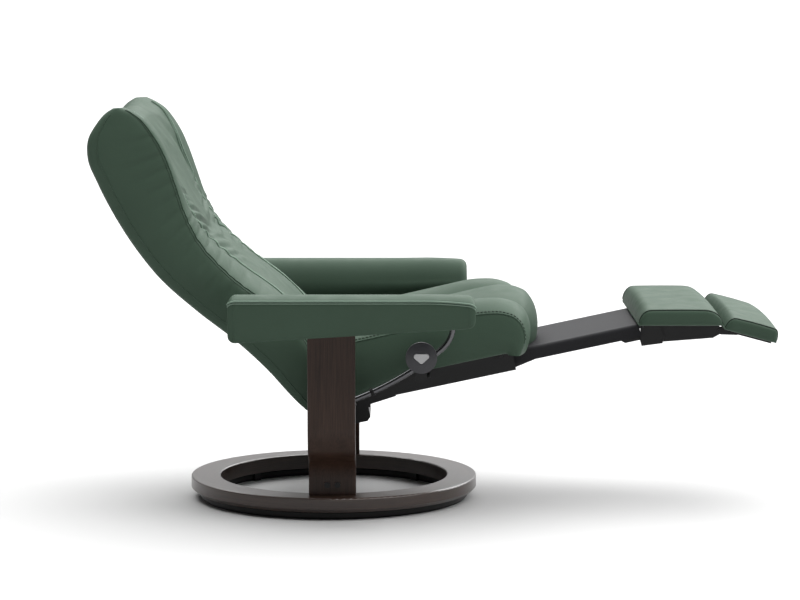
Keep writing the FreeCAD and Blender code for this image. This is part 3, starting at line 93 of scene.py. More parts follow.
# White card: matt, and bright enough to burn out to white around the soft shadow
floor_material, _, floor_shader = new_material("studio floor, matt white card")
floor_shader.inputs["Base Color"].default_value = linear("#b4b4b4")
floor_shader.inputs["Roughness"].default_value = 0.9
bpy.ops.mesh.primitive_plane_add(size=900, location=(0, 0, -0.0005))
floor = bpy.context.active_object
floor.name = "studio_floor"
floor.data.materials.append(floor_material)

world = bpy.data.worlds.new("studio")
bpy.context.scene.world = world
world.use_nodes = True
sky = world.node_tree
background = sky.nodes["Background"]
background.inputs["Color"].default_value = (1, 1, 1, 1)
way = add(sky, "ShaderNodeTexCoord")
split = add(sky, "ShaderNodeSeparateXYZ", {}, Vector=way.outputs["Generated"])
glow = add(sky, "ShaderNodeMapRange", {"From Min": -0.1, "From Max": 0.9, "To Min": 0.12, "To Max": 0.4},
           Value=split.outputs["Y"])
# The camera sees the backdrop as plain white
seen = add(sky, "ShaderNodeLightPath")
shown = add(sky, "ShaderNodeMix", {"data_type": "FLOAT"})
sky.links.new(seen.outputs["Is Camera Ray"], shown.inputs[0])
sky.links.new(glow.outputs["Result"], shown.inputs[2])
shown.inputs[3].default_value = 1.0
sky.links.new(shown.outputs[0], background.inputs["Strength"])


def soft_sky(name, direction, angle, strength):
    """One very wide soft light that falls evenly from a direction."""
    data = bpy.data.lights.new(name, "SUN")
    data.angle = math.radians(angle)
    data.energy = strength
    light = bpy.data.objects.new(name, data)
    bpy.context.collection.objects.link(light)
    light.rotation_euler = Vector(direction).to_track_quat("Z", "Y").to_euler()


soft_sky("overhead", (0.32, 0.33, 1.0), 104, 9.0)


# Base ring
# A pressed steel ring with a rubber foot and nylon pads, powder coated black. On it lies the
# swivel race, zinc plated steel that screws and spring clips hold to the wooden ring.
def grain_coordinates(tree):
    """Object coordinates, which are metres on a finished piece."""
    return add(tree, "ShaderNodeTexCoord").outputs["Object"]


def hard_finish(name, colour, roughness, metallic=0.0, grit=900.0, depth=0.05, gloss=0.25):
    """A coat, moulding or plating with a fine surface texture."""
    material, tree, shader = new_material(name)
    place = grain_coordinates(tree)
    # Specks of about 1 mm, coarser than the real texture so that they just show
    speck = add(tree, "ShaderNodeTexNoise", {"Scale": grit, "Detail": 2.0}, Vector=place)
    tone = add(tree, "ShaderNodeValToRGB", {}, Fac=speck.outputs["Fac"])
    low, high = tone.color_ramp.elements
    base = linear(colour)
    low.position, high.position = 0.35, 0.65
    low.color = [c * 0.88 for c in base[:3]] + [1]
    high.color = [min(1, c * 1.1) for c in base[:3]] + [1]
    tree.links.new(tone.outputs["Color"], shader.inputs["Base Color"])
    shader.inputs["Roughness"].default_value = roughness
    shader.inputs["Metallic"].default_value = metallic
    shader.inputs["Specular IOR Level"].default_value = 0.5 if metallic else gloss
    bump = add(tree, "ShaderNodeBump", {"Strength": depth, "Distance": 0.0004}, Height=speck.outputs["Fac"])
    tree.links.new(bump.outputs["Normal"], shader.inputs["Normal"])
    return material


def finish(material, *names):
    """Gives pieces that keep their solids the surface of the real ones."""
    for name in names:
        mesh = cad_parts[name].data
        mesh.materials.clear()
        mesh.materials.append(material)


# Powder coat: an even satin black with a faint orange peel
BLACK_COAT = hard_finish("powder coat on steel, satin black", "#121213", 0.4, gloss=0.25)
# Rubber: dull black with hardly a highlight
RUBBER = hard_finish("moulded rubber, black", "#141414", 0.7)
# Polyamide: black with the fine spark-eroded texture of its mould
BLACK_PLASTIC = hard_finish("moulded polyamide, black", "#151516", 0.42, grit=1400.0)
# Zinc plate: a bright and slightly blurred mirror
ZINC = hard_finish("zinc plate on steel", "#a9aaac", 0.32, metallic=1.0)
finish(RUBBER, "floor_pad_ring")
finish(BLACK_COAT, "base_ring", "retainer_clips")
finish(BLACK_PLASTIC, "glide_pads")
finish(ZINC, "swivel_race", "race_screws")


# Wooden ring, uprights and cross bar
# A turned ring and two bent laminated planks of beech, stained very dark brown under a satin
# lacquer. Bolts under wooden plugs and a steel bar hold the planks, steel plates the arms.
RING_RADIUS = 0.28


def dark_wood(name, along):
    """Stained beech with its grain along one axis, or round the ring."""
    material, tree, shader = new_material(name)
    place = grain_coordinates(tree)
    if along == "ring":
        split = add(tree, "ShaderNodeSeparateXYZ", {}, Vector=place)
        angle = add(tree, "ShaderNodeMath", {"operation": "ARCTAN2"})
        tree.links.new(split.outputs["Y"], angle.inputs[0])
        tree.links.new(split.outputs["X"], angle.inputs[1])
        flat = add(tree, "ShaderNodeCombineXYZ", {}, X=split.outputs["X"], Y=split.outputs["Y"])
        radius = add(tree, "ShaderNodeVectorMath", {"operation": "LENGTH"})
        tree.links.new(flat.outputs["Vector"], radius.inputs[0])
        spread = add(tree, "ShaderNodeMath", {"operation": "MULTIPLY"})
        tree.links.new(angle.outputs["Value"], spread.inputs[0])
        # Run along the grain: the angle times the ring's mean radius
        spread.inputs[1].default_value = RING_RADIUS
        turned = add(tree, "ShaderNodeCombineXYZ", {}, X=radius.outputs["Value"], Y=split.outputs["Z"],
                     Z=spread.outputs["Value"])
        place = turned.outputs["Vector"]
    # Grain lines about 2.5 mm apart, stretched 30 times along the wood, over broad clouds
    stretch = add(tree, "ShaderNodeMapping", {"Scale": (400.0, 400.0, 13.0)}, Vector=place)
    grain = add(tree, "ShaderNodeTexNoise",
                {"Scale": 1.0, "Detail": 5.0, "Roughness": 0.65, "Distortion": 0.25},
                Vector=stretch.outputs["Vector"])
    broad = add(tree, "ShaderNodeMapping", {"Scale": (60.0, 60.0, 4.0)}, Vector=place)
    cloud = add(tree, "ShaderNodeTexNoise", {"Scale": 1.0, "Detail": 2.0}, Vector=broad.outputs["Vector"])
    mixed = add(tree, "ShaderNodeMix", {"data_type": "FLOAT"})
    mixed.inputs[0].default_value = 0.35
    tree.links.new(grain.outputs["Fac"], mixed.inputs[2])
    tree.links.new(cloud.outputs["Fac"], mixed.inputs[3])
    tone = add(tree, "ShaderNodeValToRGB", {}, Fac=mixed.outputs[0])
    low, high = tone.color_ramp.elements
    low.position, high.position = 0.36, 0.66
    low.color = linear("#261a15")
    high.color = linear("#3a2a22")
    tree.links.new(tone.outputs["Color"], shader.inputs["Base Color"])
    shader.inputs["Roughness"].default_value = 0.34
    # The planks stand upright and catch less of the lacquer's shine
    shader.inputs["Specular IOR Level"].default_value = 0.4 if along == "ring" else 0.2
    shader.inputs["Coat Weight"].default_value = 0.45 if along == "ring" else 0.0
    shader.inputs["Coat Roughness"].default_value = 0.22
    bump = add(tree, "ShaderNodeBump", {"Strength": 0.12, "Distance": 0.0005}, Height=grain.outputs["Fac"])
    tree.links.new(bump.outputs["Normal"], shader.inputs["Normal"])
    return material


# Stained beech: a brown near black with faint grain, its lacquer glossier on the ring
WOOD_RING = dark_wood("stained beech, grain round the ring", "ring")
WOOD_PLANK = dark_wood("stained beech, grain along the plank", "plank")
finish(WOOD_RING, "wood_ring")
finish(WOOD_PLANK, "upright_right", "upright_left", "upright_bolts")
finish(BLACK_COAT, "cross_bar", "cross_bar_bolts", "arm_plates")


# Arms
# Firm foam on a steel plate in leather: a flat outer panel with a double welt under its top
# edge, and a crowned top that rolls over to the inner side.
def leather(name, colour, roughness, crease):
    """Pigmented leather: pebble grain, slow tone drift and shallow creases."""
    material, tree, shader = new_material(name)
    place = grain_coordinates(tree)
    drift = add(tree, "ShaderNodeTexNoise", {"Scale": 9.0, "Detail": 3.0, "Roughness": 0.5}, Vector=place)
    tone = add(tree, "ShaderNodeValToRGB", {}, Fac=drift.outputs["Fac"])
    low, high = tone.color_ramp.elements
    base = linear(colour)
    low.position, high.position = 0.3, 0.7
    low.color = [c * 0.97 for c in base[:3]] + [1]
    high.color = [min(1, c * 1.03) for c in base[:3]] + [1]
    tree.links.new(tone.outputs["Color"], shader.inputs["Base Color"])
    # Real pebbles are about 1 mm across; they are drawn at 2.2 mm so that they just show
    pebble = add(tree, "ShaderNodeTexVoronoi", {"Scale": 450.0, "feature": "SMOOTH_F1"}, Vector=place)
    fold = add(tree, "ShaderNodeTexNoise",
               {"Scale": 26.0, "Detail": 4.0, "Roughness": 0.55, "Distortion": 0.4}, Vector=place)
    sheen = add(tree, "ShaderNodeMapRange", {"From Min": 0.3, "From Max": 0.7, "To Min": roughness - 0.05,
                                           "To Max": roughness + 0.06}, Value=fold.outputs["Fac"])
    tree.links.new(sheen.outputs["Result"], shader.inputs["Roughness"])
    fine = add(tree, "ShaderNodeBump", {"Strength": 0.22, "Distance": 0.0006},
               Height=pebble.outputs["Distance"])
    soft = add(tree, "ShaderNodeBump", {"Strength": crease, "Distance": 0.004}, Height=fold.outputs["Fac"],
               Normal=fine.outputs["Normal"])
    tree.links.new(soft.outputs["Normal"], shader.inputs["Normal"])
    shader.inputs["IOR"].default_value = 1.45
    shader.inputs["Specular IOR Level"].default_value = 0.10
    return material


# Pigmented leather: dull sage green, soft broad highlights, hardly any change of tone
LEATHER = leather("pigmented leather, sage green", "#3a4a3e", 0.55, 0.008)
# Seam edges and welts: the same leather made paler, a painted highlight where the turned edges catch the
# light
LEATHER_PAINTED_HIGHLIGHT = leather("pigmented leather, painted highlight on seam edge", "#65776a", 0.5, 0.01)


def outline_points(corners, bulges, counts):
    """A closed outline: each side is a line or a shallow arc, cut into its own count of steps."""
    points = []
    for i, (bulge, count) in enumerate(zip(bulges, counts)):
        a = np.array(corners[i], float)
        b = np.array(corners[(i + 1) % len(corners)], float)
        run = b - a
        out = np.array([run[1], -run[0]]) / max(np.hypot(*run), 1e-9)
        for k in range(count):
            share = k / count
            points.append(a + run * share + out * bulge * 4 * share * (1 - share))
    return np.array(points)


def eased_outline(points, passes):
    """Rounds an outline's corners by repeated averaging with the neighbours."""
    for _ in range(passes):
        points = 0.5 * points + 0.25 * (np.roll(points, 1, 0) + np.roll(points, -1, 0))
    return points


def skin(name, rings, material):
    """A closed, smooth mesh through rings of points, with both ends capped."""
    rings = np.array(rings)
    count, around, _ = rings.shape
    mesh = bpy.data.meshes.new(name)
    verts = [tuple(p) for ring in rings for p in ring]
    faces = []
    for i in range(count - 1):
        for j in range(around):
            k = (j + 1) % around
            faces.append((i * around + j, i * around + k, (i + 1) * around + k, (i + 1) * around + j))
    faces.append(tuple(range(around))[::-1])
    faces.append(tuple((count - 1) * around + j for j in range(around)))
    mesh.from_pydata(verts, [], faces)
    mesh.update()
    work = bmesh.new()
    work.from_mesh(mesh)
    caps = [face for face in work.faces if len(face.verts) > 4]
    bmesh.ops.triangulate(work, faces=caps)
    bmesh.ops.recalc_face_normals(work, faces=work.faces)
    work.to_mesh(mesh)
    work.free()
    obj = bpy.data.objects.new(name, mesh)
    bpy.context.collection.objects.link(obj)
    mesh.materials.append(material)
    for face in mesh.polygons:
        face.use_smooth = True
    return obj


def piping(name, path, radius, material, sides=6):
    """A thin closed tube along a line of places in metres, as a seam's rolled edge or a welt."""
    path = np.array(path, float)
    ahead = np.gradient(path, axis=0)
    ahead /= np.maximum(np.linalg.norm(ahead, axis=1), 1e-9)[:, None]
    rings = []
    side = np.cross(ahead[0], (0.0, 1.0, 0.0))
    if np.linalg.norm(side) < 0.2:
        side = np.cross(ahead[0], (1.0, 0.0, 0.0))
    for place, run in zip(path, ahead):
        side = side - run * (side @ run)
        side /= np.linalg.norm(side)
        up = np.cross(run, side)
        angles = [2 * math.pi * k / sides for k in range(sides)]
        rings.append([place + radius * (math.cos(t) * side + math.sin(t) * up) for t in angles])
    return skin(name, rings, material)


def joined(name, pieces):
    """Joins pieces into the first of them, under a new name."""
    bpy.ops.object.select_all(action="DESELECT")
    for piece in pieces:
        piece.select_set(True)
    bpy.context.view_layer.objects.active = pieces[0]
    bpy.ops.object.join()
    pieces[0].name = name
    return pieces[0]


# Points along each side of an arm's outline, and the arm's sizes in millimetres
ARM_COUNTS = (18, 5, 18, 34, 14, 5)
ARM_REAR, ARM_FRONT, ARM_ROUND = -209, 302, 16
ARM_MIDDLE, ARM_HALF = 380, 45
ARM_BASE, ARM_TOP = 391, 480
ARM_SLOPE = math.tan(math.radians(3.5))


def arm_stations():
    """Places along an arm with how far the rounded ends draw in, from 0 to 1."""
    turn = [math.pi / 2 * k / 9 for k in range(10)]
    rear = [(ARM_REAR + ARM_ROUND * (1 - math.cos(t)), 1 - math.sin(t)) for t in turn]
    straight = ARM_FRONT - ARM_REAR - 2 * ARM_ROUND
    middle = [(ARM_REAR + ARM_ROUND + straight * k / 44, 0) for k in range(1, 44)]
    return rear + middle + [(ARM_FRONT - (x - ARM_REAR), ease) for x, ease in reversed(rear)]


def arm_heights(x, ease):
    """Underside and welt height of an arm at a place along it."""
    low = ARM_BASE + (x + 208) * ARM_SLOPE + ease * 15
    fall = 7 * max(0, (x - 200) / 102) ** 1.8
    return low, ARM_TOP - ease * 9 - fall


def arm_rings(sign):
    """Rings of one arm's cover from its rear end to its front end, as places in metres."""
    rings = []
    for x, ease in arm_stations():
        low, welt = arm_heights(x, ease)
        tall = welt - low
        half = ARM_HALF - ease * 15
        out = ARM_HALF - ease * 4
        roll = min(40, tall * 0.6)
        corners = [(-half + 8, -6 + 6 * ease), (out - 6, 0), (out, 6), (out, tall),
                   (-half, tall - roll), (-half, 2 + 4 * ease)]
        bulges = [0, 2, 1, 28 - ease * 14, 3, 2]
        outline = eased_outline(outline_points(corners, bulges, ARM_COUNTS), 1)
        rings.append([(x / 1000, sign * (ARM_MIDDLE + y) / 1000, (low + d) / 1000) for y, d in outline])
    return np.array(rings)


for side_name, sign in (("right", -1), ("left", 1)):
    arm = skin("arm_cover_" + side_name, arm_rings(sign), LEATHER)
    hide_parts("arm_" + side_name)
    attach(arm, "chair_frame")
    # Two welts run under the top edge, the upper one thicker; they take the paler leather, a painted
    # highlight
    welts = []
    for number, (down, radius) in enumerate(((0.8, 0.0021), (5.6, 0.0015))):
        path = []
        for x, ease in arm_stations():
            if ease < 0.9:
                out = ARM_MIDDLE + ARM_HALF + 0.3 - ease * 4
                path.append((x / 1000, sign * out / 1000, (arm_heights(x, ease)[1] - down) / 1000))
        welts.append(piping("arm_welt_%d_%s" % (number, side_name), path, radius, LEATHER_PAINTED_HIGHLIGHT))
    # Upright seams where the end pieces meet the outer panel
    for x in (ARM_REAR + 13, ARM_FRONT - 13):
        low, welt = arm_heights(x, 0)
        side = sign * (ARM_MIDDLE + ARM_HALF + 0.6) / 1000
        path = [(x / 1000, side, (low + 6 + (welt - low - 12) * k / 12) / 1000) for k in range(13)]
        welts.append(piping("arm_end_seam_%d_%s" % (x, side_name), path, 0.0007, LEATHER))
    arm_welts = joined("arm_welts_" + side_name, welts)
    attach(arm_welts, "chair_frame")


# Rods, glides and hand wheels
# Two bent steel rods, plated black nickel, run from clamps on the uprights to the arms. The
# seat glides on them in nylon shoes, and a moulded wheel on each side sets the drag.

# Black nickel: a dark mirror with long highlights
ROD_COAT = hard_finish("black nickel on steel rod", "#59595b", 0.24, metallic=1.0, depth=0.01)
# Charcoal polyamide: matt, a little lighter than the black pieces
WHEEL_PLASTIC = hard_finish("moulded polyamide, soft charcoal", "#3d3d40", 0.42, grit=1400.0)
# Silver lacquer: fine metal flake under a satin coat
SILVER = hard_finish("satin silver lacquer on plastic", "#a6a6a7", 0.3, metallic=0.35)
finish(ROD_COAT, "rail_right", "rail_left")
finish(BLACK_COAT, "rail_clamps", "glide_brackets_right", "glide_brackets_left")
finish(RUBBER, "rail_collars")
finish(BLACK_PLASTIC, "glide_shoes")
finish(WHEEL_PLASTIC, "hand_wheel_right", "hand_wheel_left")
finish(SILVER, "wheel_insert_right", "wheel_insert_left")
finish(ZINC, "wheel_stud_right", "wheel_stud_left")


# Seat pan, leg rest housing and drive
# A folded steel pan carries the cushion and, under it, the box housing of the leg rest with a
# moulded rim and guides, a linear drive behind it, and a rocker switch at the side.
finish(BLACK_COAT, "seat_pan", "legrest_housing")
finish(BLACK_PLASTIC, "housing_bezel", "beam_guides", "drive_unit", "power_inlet", "switch_housing")
finish(WHEEL_PLASTIC, "switch_rocker")
finish(ZINC, "actuator_tube")


# Seat cushion
# Three lengthwise rolls of foam under one leather cover that runs over the front edge,
# sewn to a flat boxing band at each side.

# Sewn seams: darker leather, painted shade where the seams lie between two pieces of leather
SEAM_PAINTED_SHADE = leather("pigmented leather, painted shade along sewn seam", "#262f28", 0.6, 0.01)


def heading(degrees):
    """A unit direction in the side view, measured up from forward."""
    return np.array([math.cos(math.radians(degrees)), 0, math.sin(math.radians(degrees))])


def ring_points(outline, x, z, lean):
    """Lifts an outline of (y, depth) into the plane of one station."""
    out = heading(lean)
    return np.array([(x + out[0] * d, y, z + out[2] * d) for y, d in outline])


def puff(obj, held, pressure, limit, frames=16):
    """Blows a pad up from inside as cloth, with some points held, and caps how far it moves."""
    start = np.array([v.co[:] for v in obj.data.vertices])
    group = obj.vertex_groups.new(name="held")
    for index, weight in held:
        group.add([int(index)], float(weight), "REPLACE")
    cloth = obj.modifiers.new("Cloth", "CLOTH")
    cloth.settings.vertex_group_mass = "held"
    cloth.settings.use_pressure = True
    cloth.settings.uniform_pressure_force = pressure
    cloth.settings.effector_weights.gravity = 0
    cloth.settings.tension_stiffness = 18
    cloth.settings.compression_stiffness = 18
    cloth.settings.bending_stiffness = 2.5
    cloth.settings.quality = 5
    cloth.point_cache.frame_start = 1
    cloth.point_cache.frame_end = frames
    scene = bpy.context.scene
    for number in range(1, frames + 1):
        scene.frame_set(number)
    graph = bpy.context.evaluated_depsgraph_get()
    after = obj.evaluated_get(graph).to_mesh()
    moved = np.array([v.co[:] for v in after.vertices]) - start
    obj.modifiers.remove(cloth)
    scene.frame_set(1)
    length = np.linalg.norm(moved, axis=1)
    share = np.minimum(1, limit / np.maximum(length, 1e-9))
    final = start + moved * share[:, None]
    for vertex, place in zip(obj.data.vertices, final):
        vertex.co = place
    obj.data.update()


def cover_line(obj, around, column, first=0, last=None, lift=0.0):
    """The places of one lengthwise line of a cover, set off along its normals."""
    count = len(obj.data.vertices) // around
    last = count if last is None else last
    line = []
    for ring in range(first, last):
        vertex = obj.data.vertices[ring * around + column]
        line.append(np.array(vertex.co[:]) + lift * np.array(vertex.normal[:]))
    return np.array(line)


# The seat is drawn level and then tilted back and lifted to its place on the rods
SEAT_TILT = math.radians(12)
SEAT_LIFT = 0.2708
SEAT_HALF, LOBE_HALF = 272, 130


def seat_to_chair(points):
    """Points of the level seat, in metres, as places on the tilted one."""
    points = np.asarray(points, float)
    cos, sin = math.cos(SEAT_TILT), math.sin(SEAT_TILT)
    x = points[..., 0] * cos - points[..., 2] * sin
    z = SEAT_LIFT + points[..., 0] * sin + points[..., 2] * cos
    return np.stack([x, points[..., 1], z], axis=-1)


# Place along the seat, height of the base, lean, crown depth and how far the nose rolls over,
# in millimetres and degrees
SEAT_STATIONS = [
    (30, 0, 90, 100, 0), (36, 0, 90, 112, 0), (60, 0, 90, 115, 0), (200, 0, 90, 116, 0), (335, 0, 90, 118, 0),
    (360, 0, 76, 121, 0.3), (366, 0, 60, 124, 0.6), (372, 0, 49, 121, 0.9), (377, 0, 37, 107, 1.0),
    (380, -1, 21, 90, 1.0), (382, -2, 7, 78, 1.0), (383, -4, -13, 67, 0.9),
]
SEAT_COUNTS = (2, 3, 44, 3, 2, 4, 14, 30, 52, 30, 14, 4)


def seat_rings():
    """Rings of the seat cover from its rear edge over the nose."""
    table = []
    for (a, b) in zip(SEAT_STATIONS[:-1], SEAT_STATIONS[1:]):
        steps = 12 if b[2] == 90 and b[0] - a[0] > 100 else 8
        for k in range(steps):
            table.append([p + (q - p) * k / steps for p, q in zip(a, b)])
    table.append(list(SEAT_STATIONS[-1]))
    table = np.array(table)
    for _ in range(3):
        table[1:-1] = 0.5 * table[1:-1] + 0.25 * (table[:-2] + table[2:])
    rings = []
    for along, lift, lean, tall, nose in table:
        crease = tall - 22 - nose * 5
        edge = tall - 22 - nose * 24
        half = SEAT_HALF
        lobe_arc = (25 - 14 * nose) * min(1, tall / 118)
        # Beside the pan the cover hangs lower, by up to 28 mm at the rear
        drop = -28 * max(0, 1 - (along - 30) / 150) ** 1.2
        corners = [(-half + 12, drop), (-256, drop), (-252, 0), (252, 0), (256, drop), (half - 12, drop),
                   (half, drop + 9), (half, edge), (LOBE_HALF, crease), (-LOBE_HALF, crease),
                   (-half, edge), (-half, drop + 9)]
        bulges = [0, 0, 0, 0, 0, 2, 4, lobe_arc, 21 + nose * 7, lobe_arc, 4, 2]
        outline = outline_points(corners, bulges, SEAT_COUNTS)
        eased = eased_outline(outline, 1)
        rings.append(seat_to_chair(ring_points(eased / 1000, along / 1000, lift / 1000, lean)))
    return np.array(rings)


SEAT_RINGS = seat_rings()
seat_cover = skin("seat_cover", SEAT_RINGS, LEATHER)
seam_starts = np.cumsum((0,) + SEAT_COUNTS)[:-1]
around = SEAT_RINGS.shape[1]
# The four top seams and everything that lies on the pan stay where they are
held = []
for ring in range(SEAT_RINGS.shape[0]):
    for j in (*seam_starts[7:11], *range(seam_starts[6])):
        held.append((ring * around + j, 1.0))
puff(seat_cover, held, pressure=1.6, limit=0.008)
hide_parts("seat_cushion")
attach(seat_cover, "seat")
last = SEAT_RINGS.shape[0]
seams = []
# Top stitches are 5 mm long, one every 8 mm, in the darker seam leather of painted shade
STITCH, STITCH_STEP = 0.005, 0.008
for side_name, edge, lobe, out in (("right", seam_starts[10], seam_starts[9], 1),
                                   ("left", seam_starts[7], seam_starts[8], -1)):
    boxing = cover_line(seat_cover, around, edge, 1, last - 16, 0.0002)
    seams.append(piping("boxing_seam_" + side_name, boxing, 0.0013, LEATHER))
    # The channel seam between the rolls is drawn dark, painted shade
    channel = cover_line(seat_cover, around, lobe, 1, last - 1, 0.0)
    seams.append(piping("lobe_seam_" + side_name, channel, 0.0010, SEAM_PAINTED_SHADE))
    line = cover_line(seat_cover, around, edge - out, 1, last - 16, 0.0004)
    far = np.concatenate([[0], np.cumsum(np.linalg.norm(np.diff(line, axis=0), axis=1))])
    for k in range(int(far[-1] / STITCH_STEP)):
        spots = [[np.interp(k * STITCH_STEP + step, far, line[:, axis]) for axis in range(3)]
                 for step in (0.0, STITCH / 2, STITCH)]
        seams.append(piping("stitch", spots, 0.0009, SEAM_PAINTED_SHADE, sides=5))
seat_seams = joined("seat_seams", seams)
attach(seat_seams, "seat")


# Back and head
# One leather cover over moulded foam, with flat sides, a plain rear and, in front, a bolster
# on each side of a hollow panel. Inside are two bent steel tubes, which pins join to each other
# and to lugs on the seat pan.
finish(BLACK_COAT, "back_frame", "head_frame", "back_lugs")
finish(ZINC, "back_pins", "head_pins")
# Painted shade: darker leather on the fold round a front edge, where it turns away from the light
LEATHER_SHADE = leather("pigmented leather, painted shade on folded edge", "#313e34", 0.55, 0.012)


def smooth_run(stations, count):
    """Station values at evenly spaced places on a smooth curve through all of them."""
    table = np.array(stations, float)
    steps = np.maximum(np.hypot(np.diff(table[:, 0]), np.diff(table[:, 1])), 1e-6)
    far = np.concatenate([[0], np.cumsum(steps)])
    slopes = np.diff(table, axis=0) / steps[:, None]
    tangent = np.empty_like(table)
    tangent[0], tangent[-1] = slopes[0], slopes[-1]
    before, after = steps[:-1, None], steps[1:, None]
    tangent[1:-1] = (slopes[:-1] * after + slopes[1:] * before) / (before + after)
    places = np.linspace(0, far[-1], count)
    run = np.clip(np.searchsorted(far, places, side="right") - 1, 0, len(steps) - 1)
    width = steps[run][:, None]
    share = ((places - far[run]) / steps[run])[:, None]
    ease = share * share * (3 - 2 * share)
    lift = share * (1 - share)
    return (table[run] * (1 - ease) + table[run + 1] * ease
            + width * lift * (tangent[run] * (1 - share) - tangent[run + 1] * share))


# Rear point, lean, side seam depth, crest depth, crest distance, hollow and half width at
# each station, in millimetres and degrees, from the tip up to the crown
BACK_STATIONS = [
    (-52, 228, 45, 38, 40, 150, 0, 276), (-67, 242, 44, 66, 70, 150, 0, 285),
    (-96, 273, 44, 88, 98, 150, 2, 289), (-125, 306, 44, 103, 116, 152, 3, 290),
    (-197, 374, 46, 104, 128, 156, 4, 290), (-284, 442, 47, 104, 126, 165, 5, 290),
    (-359, 509, 43, 115, 128, 180, 6, 290), (-413, 577, 34, 130, 134, 198, 8, 290),
    (-455, 644, 25, 146, 144, 208, 16, 290), (-489, 711, 18, 156, 150, 218, 24, 290),
    (-509, 762, 13, 154, 151, 232, 27, 290), (-508, 803, 10, 131, 131, 246, 21, 288),
    (-492, 833, 8, 95, 97, 250, 13, 284), (-472, 857, 5, 51, 53, 252, 6, 280),
    (-455, 868, 3, 18, 20, 250, 1, 276),
]
BACK_COUNTS = (52, 4, 14, 16, 50, 16, 14, 4)


def back_rings(count):
    """Rings of the back cover, and where its seams run."""
    rings = []
    values = smooth_run(BACK_STATIONS, count)
    for x, z, lean, side, crest, reach, hollow, half in values:
        ease = min(14, side / 4)
        corners = [(-half + ease, 0), (half - ease, 0), (half, ease), (half, side), (reach, crest),
                   (-reach, crest), (-half, side), (-half, ease)]
        bulges = [4, ease / 4, 3, 7, -hollow, 7, 3, ease / 4]
        outline = outline_points(corners, bulges, BACK_COUNTS)
        rings.append(ring_points(eased_outline(outline, 5) / 1000, x / 1000, z / 1000, lean))
    rings = np.array(rings)
    # The crown dips by 18 mm between the two wings
    rise = np.clip((rings[..., 2] - 0.78) / 0.09, 0, 1) ** 1.5
    rings[..., 2] -= 0.018 * rise * np.clip(1 - (rings[..., 1] / 0.245) ** 2, 0, 1)
    return rings, values


def press_folds(obj, around, folds, step=6.7, across=7.0):
    """Pushes a gridded cover in along soft creases.

    Each crease runs between two grid places (ring, column), and its width and depth are in
    millimetres, as are the grid's step from ring to ring and its step across.
    """
    mesh = obj.data
    points = np.array([v.co[:] for v in mesh.vertices])
    normals = np.array([v.normal[:] for v in mesh.vertices])
    index = np.arange(len(points))
    grid = np.stack([(index // around) * step, (index % around) * across], axis=1)
    depth = np.zeros(len(points))
    for start, end, width, deep in folds:
        a = np.array(start, float) * (step, across)
        run = np.array(end, float) * (step, across) - a
        share = ((grid - a) @ run) / (run @ run)
        held = np.clip(share, -0.2, 1.2)
        off = np.linalg.norm(grid - (a + held[:, None] * run), axis=1)
        fade = np.clip(1 - ((held - 0.5) / 0.72) ** 2, 0, 1)
        # A valley with a low ridge beside it
        valley = np.exp(-(off / width) ** 2) - 0.35 * np.exp(-((off - 1.9 * width) / width) ** 2)
        depth += deep / 1000 * fade * valley
    for vertex, place in zip(mesh.vertices, points - normals * depth[:, None]):
        vertex.co = place
    mesh.update()


def front_spot(x, z, y, columns):
    """The ring and column of the back's front surface next to a place in millimetres."""
    rear_x, rear_z, lean, _, crest = BACK_VALUES.T[:5]
    crest_x = rear_x + np.cos(np.radians(lean)) * crest
    crest_z = rear_z + np.sin(np.radians(lean)) * crest
    ring = int(np.argmin(np.hypot(crest_x - x, crest_z - z)))
    ys = BACK_RINGS[ring, columns, 1] * 1000
    return ring, columns[int(np.argmin(np.abs(ys - y)))]


BACK_RINGS, BACK_VALUES = back_rings(150)
back_cover = skin("back_cover", BACK_RINGS, LEATHER)
seam_starts = np.cumsum((0,) + BACK_COUNTS)[:-1]
around = BACK_RINGS.shape[1]
# The tip, the crown and the four front seams stay where they are, the plain rear gives a little
TIP_RINGS, CROWN_RINGS, REAR_HOLD = 4, 140, 0.6
held = []
for ring in range(BACK_RINGS.shape[0]):
    if ring < TIP_RINGS or ring > CROWN_RINGS:
        held += [(ring * around + j, 1.0) for j in range(around)]
        continue
    for j in seam_starts[3:7]:
        held.append((ring * around + j, 1.0))
    for j in range(BACK_COUNTS[0]):
        held.append((ring * around + j, REAR_HOLD))
puff(back_cover, held, pressure=1.6, limit=0.010)

# Creases: a fan of folds at the neck, puckers at the waist, short pulls along the front seams
# Each row gives the fold's place in the side view, how far out it starts and ends, how many
# rings it drops, its width and its depth
FRONT = list(range(seam_starts[3], seam_starts[6] + 1))
NECK_FOLDS = [
    (-300, 650, 180, 70, 5, 9, 4.0), (-292, 628, 184, 40, 7, 10, 4.5), (-280, 606, 198, 90, 6, 8, 4.0),
    (-266, 588, 192, 30, 6, 10, 5.0), (-246, 566, 188, 80, 5, 8, 3.6), (-222, 545, 182, 60, 4, 8, 3.0),
    (-318, 690, 206, 120, 4, 8, 2.8),
]
BOLSTER_PULLS = [
    (-300, 640, 2.0), (-284, 612, 2.0), (-262, 586, 2.2), (-238, 560, 2.2), (-212, 538, 2.0),
    (-184, 518, 2.0), (-150, 496, 1.6),
]
SIDE_PLEATS = [
    (-372, 812), (-352, 776), (-340, 748), (-327, 718), (-318, 690), (-308, 660), (-296, 634),
    (-276, 600), (-250, 568), (-222, 540), (-190, 514), (-160, 492),
]
folds = []
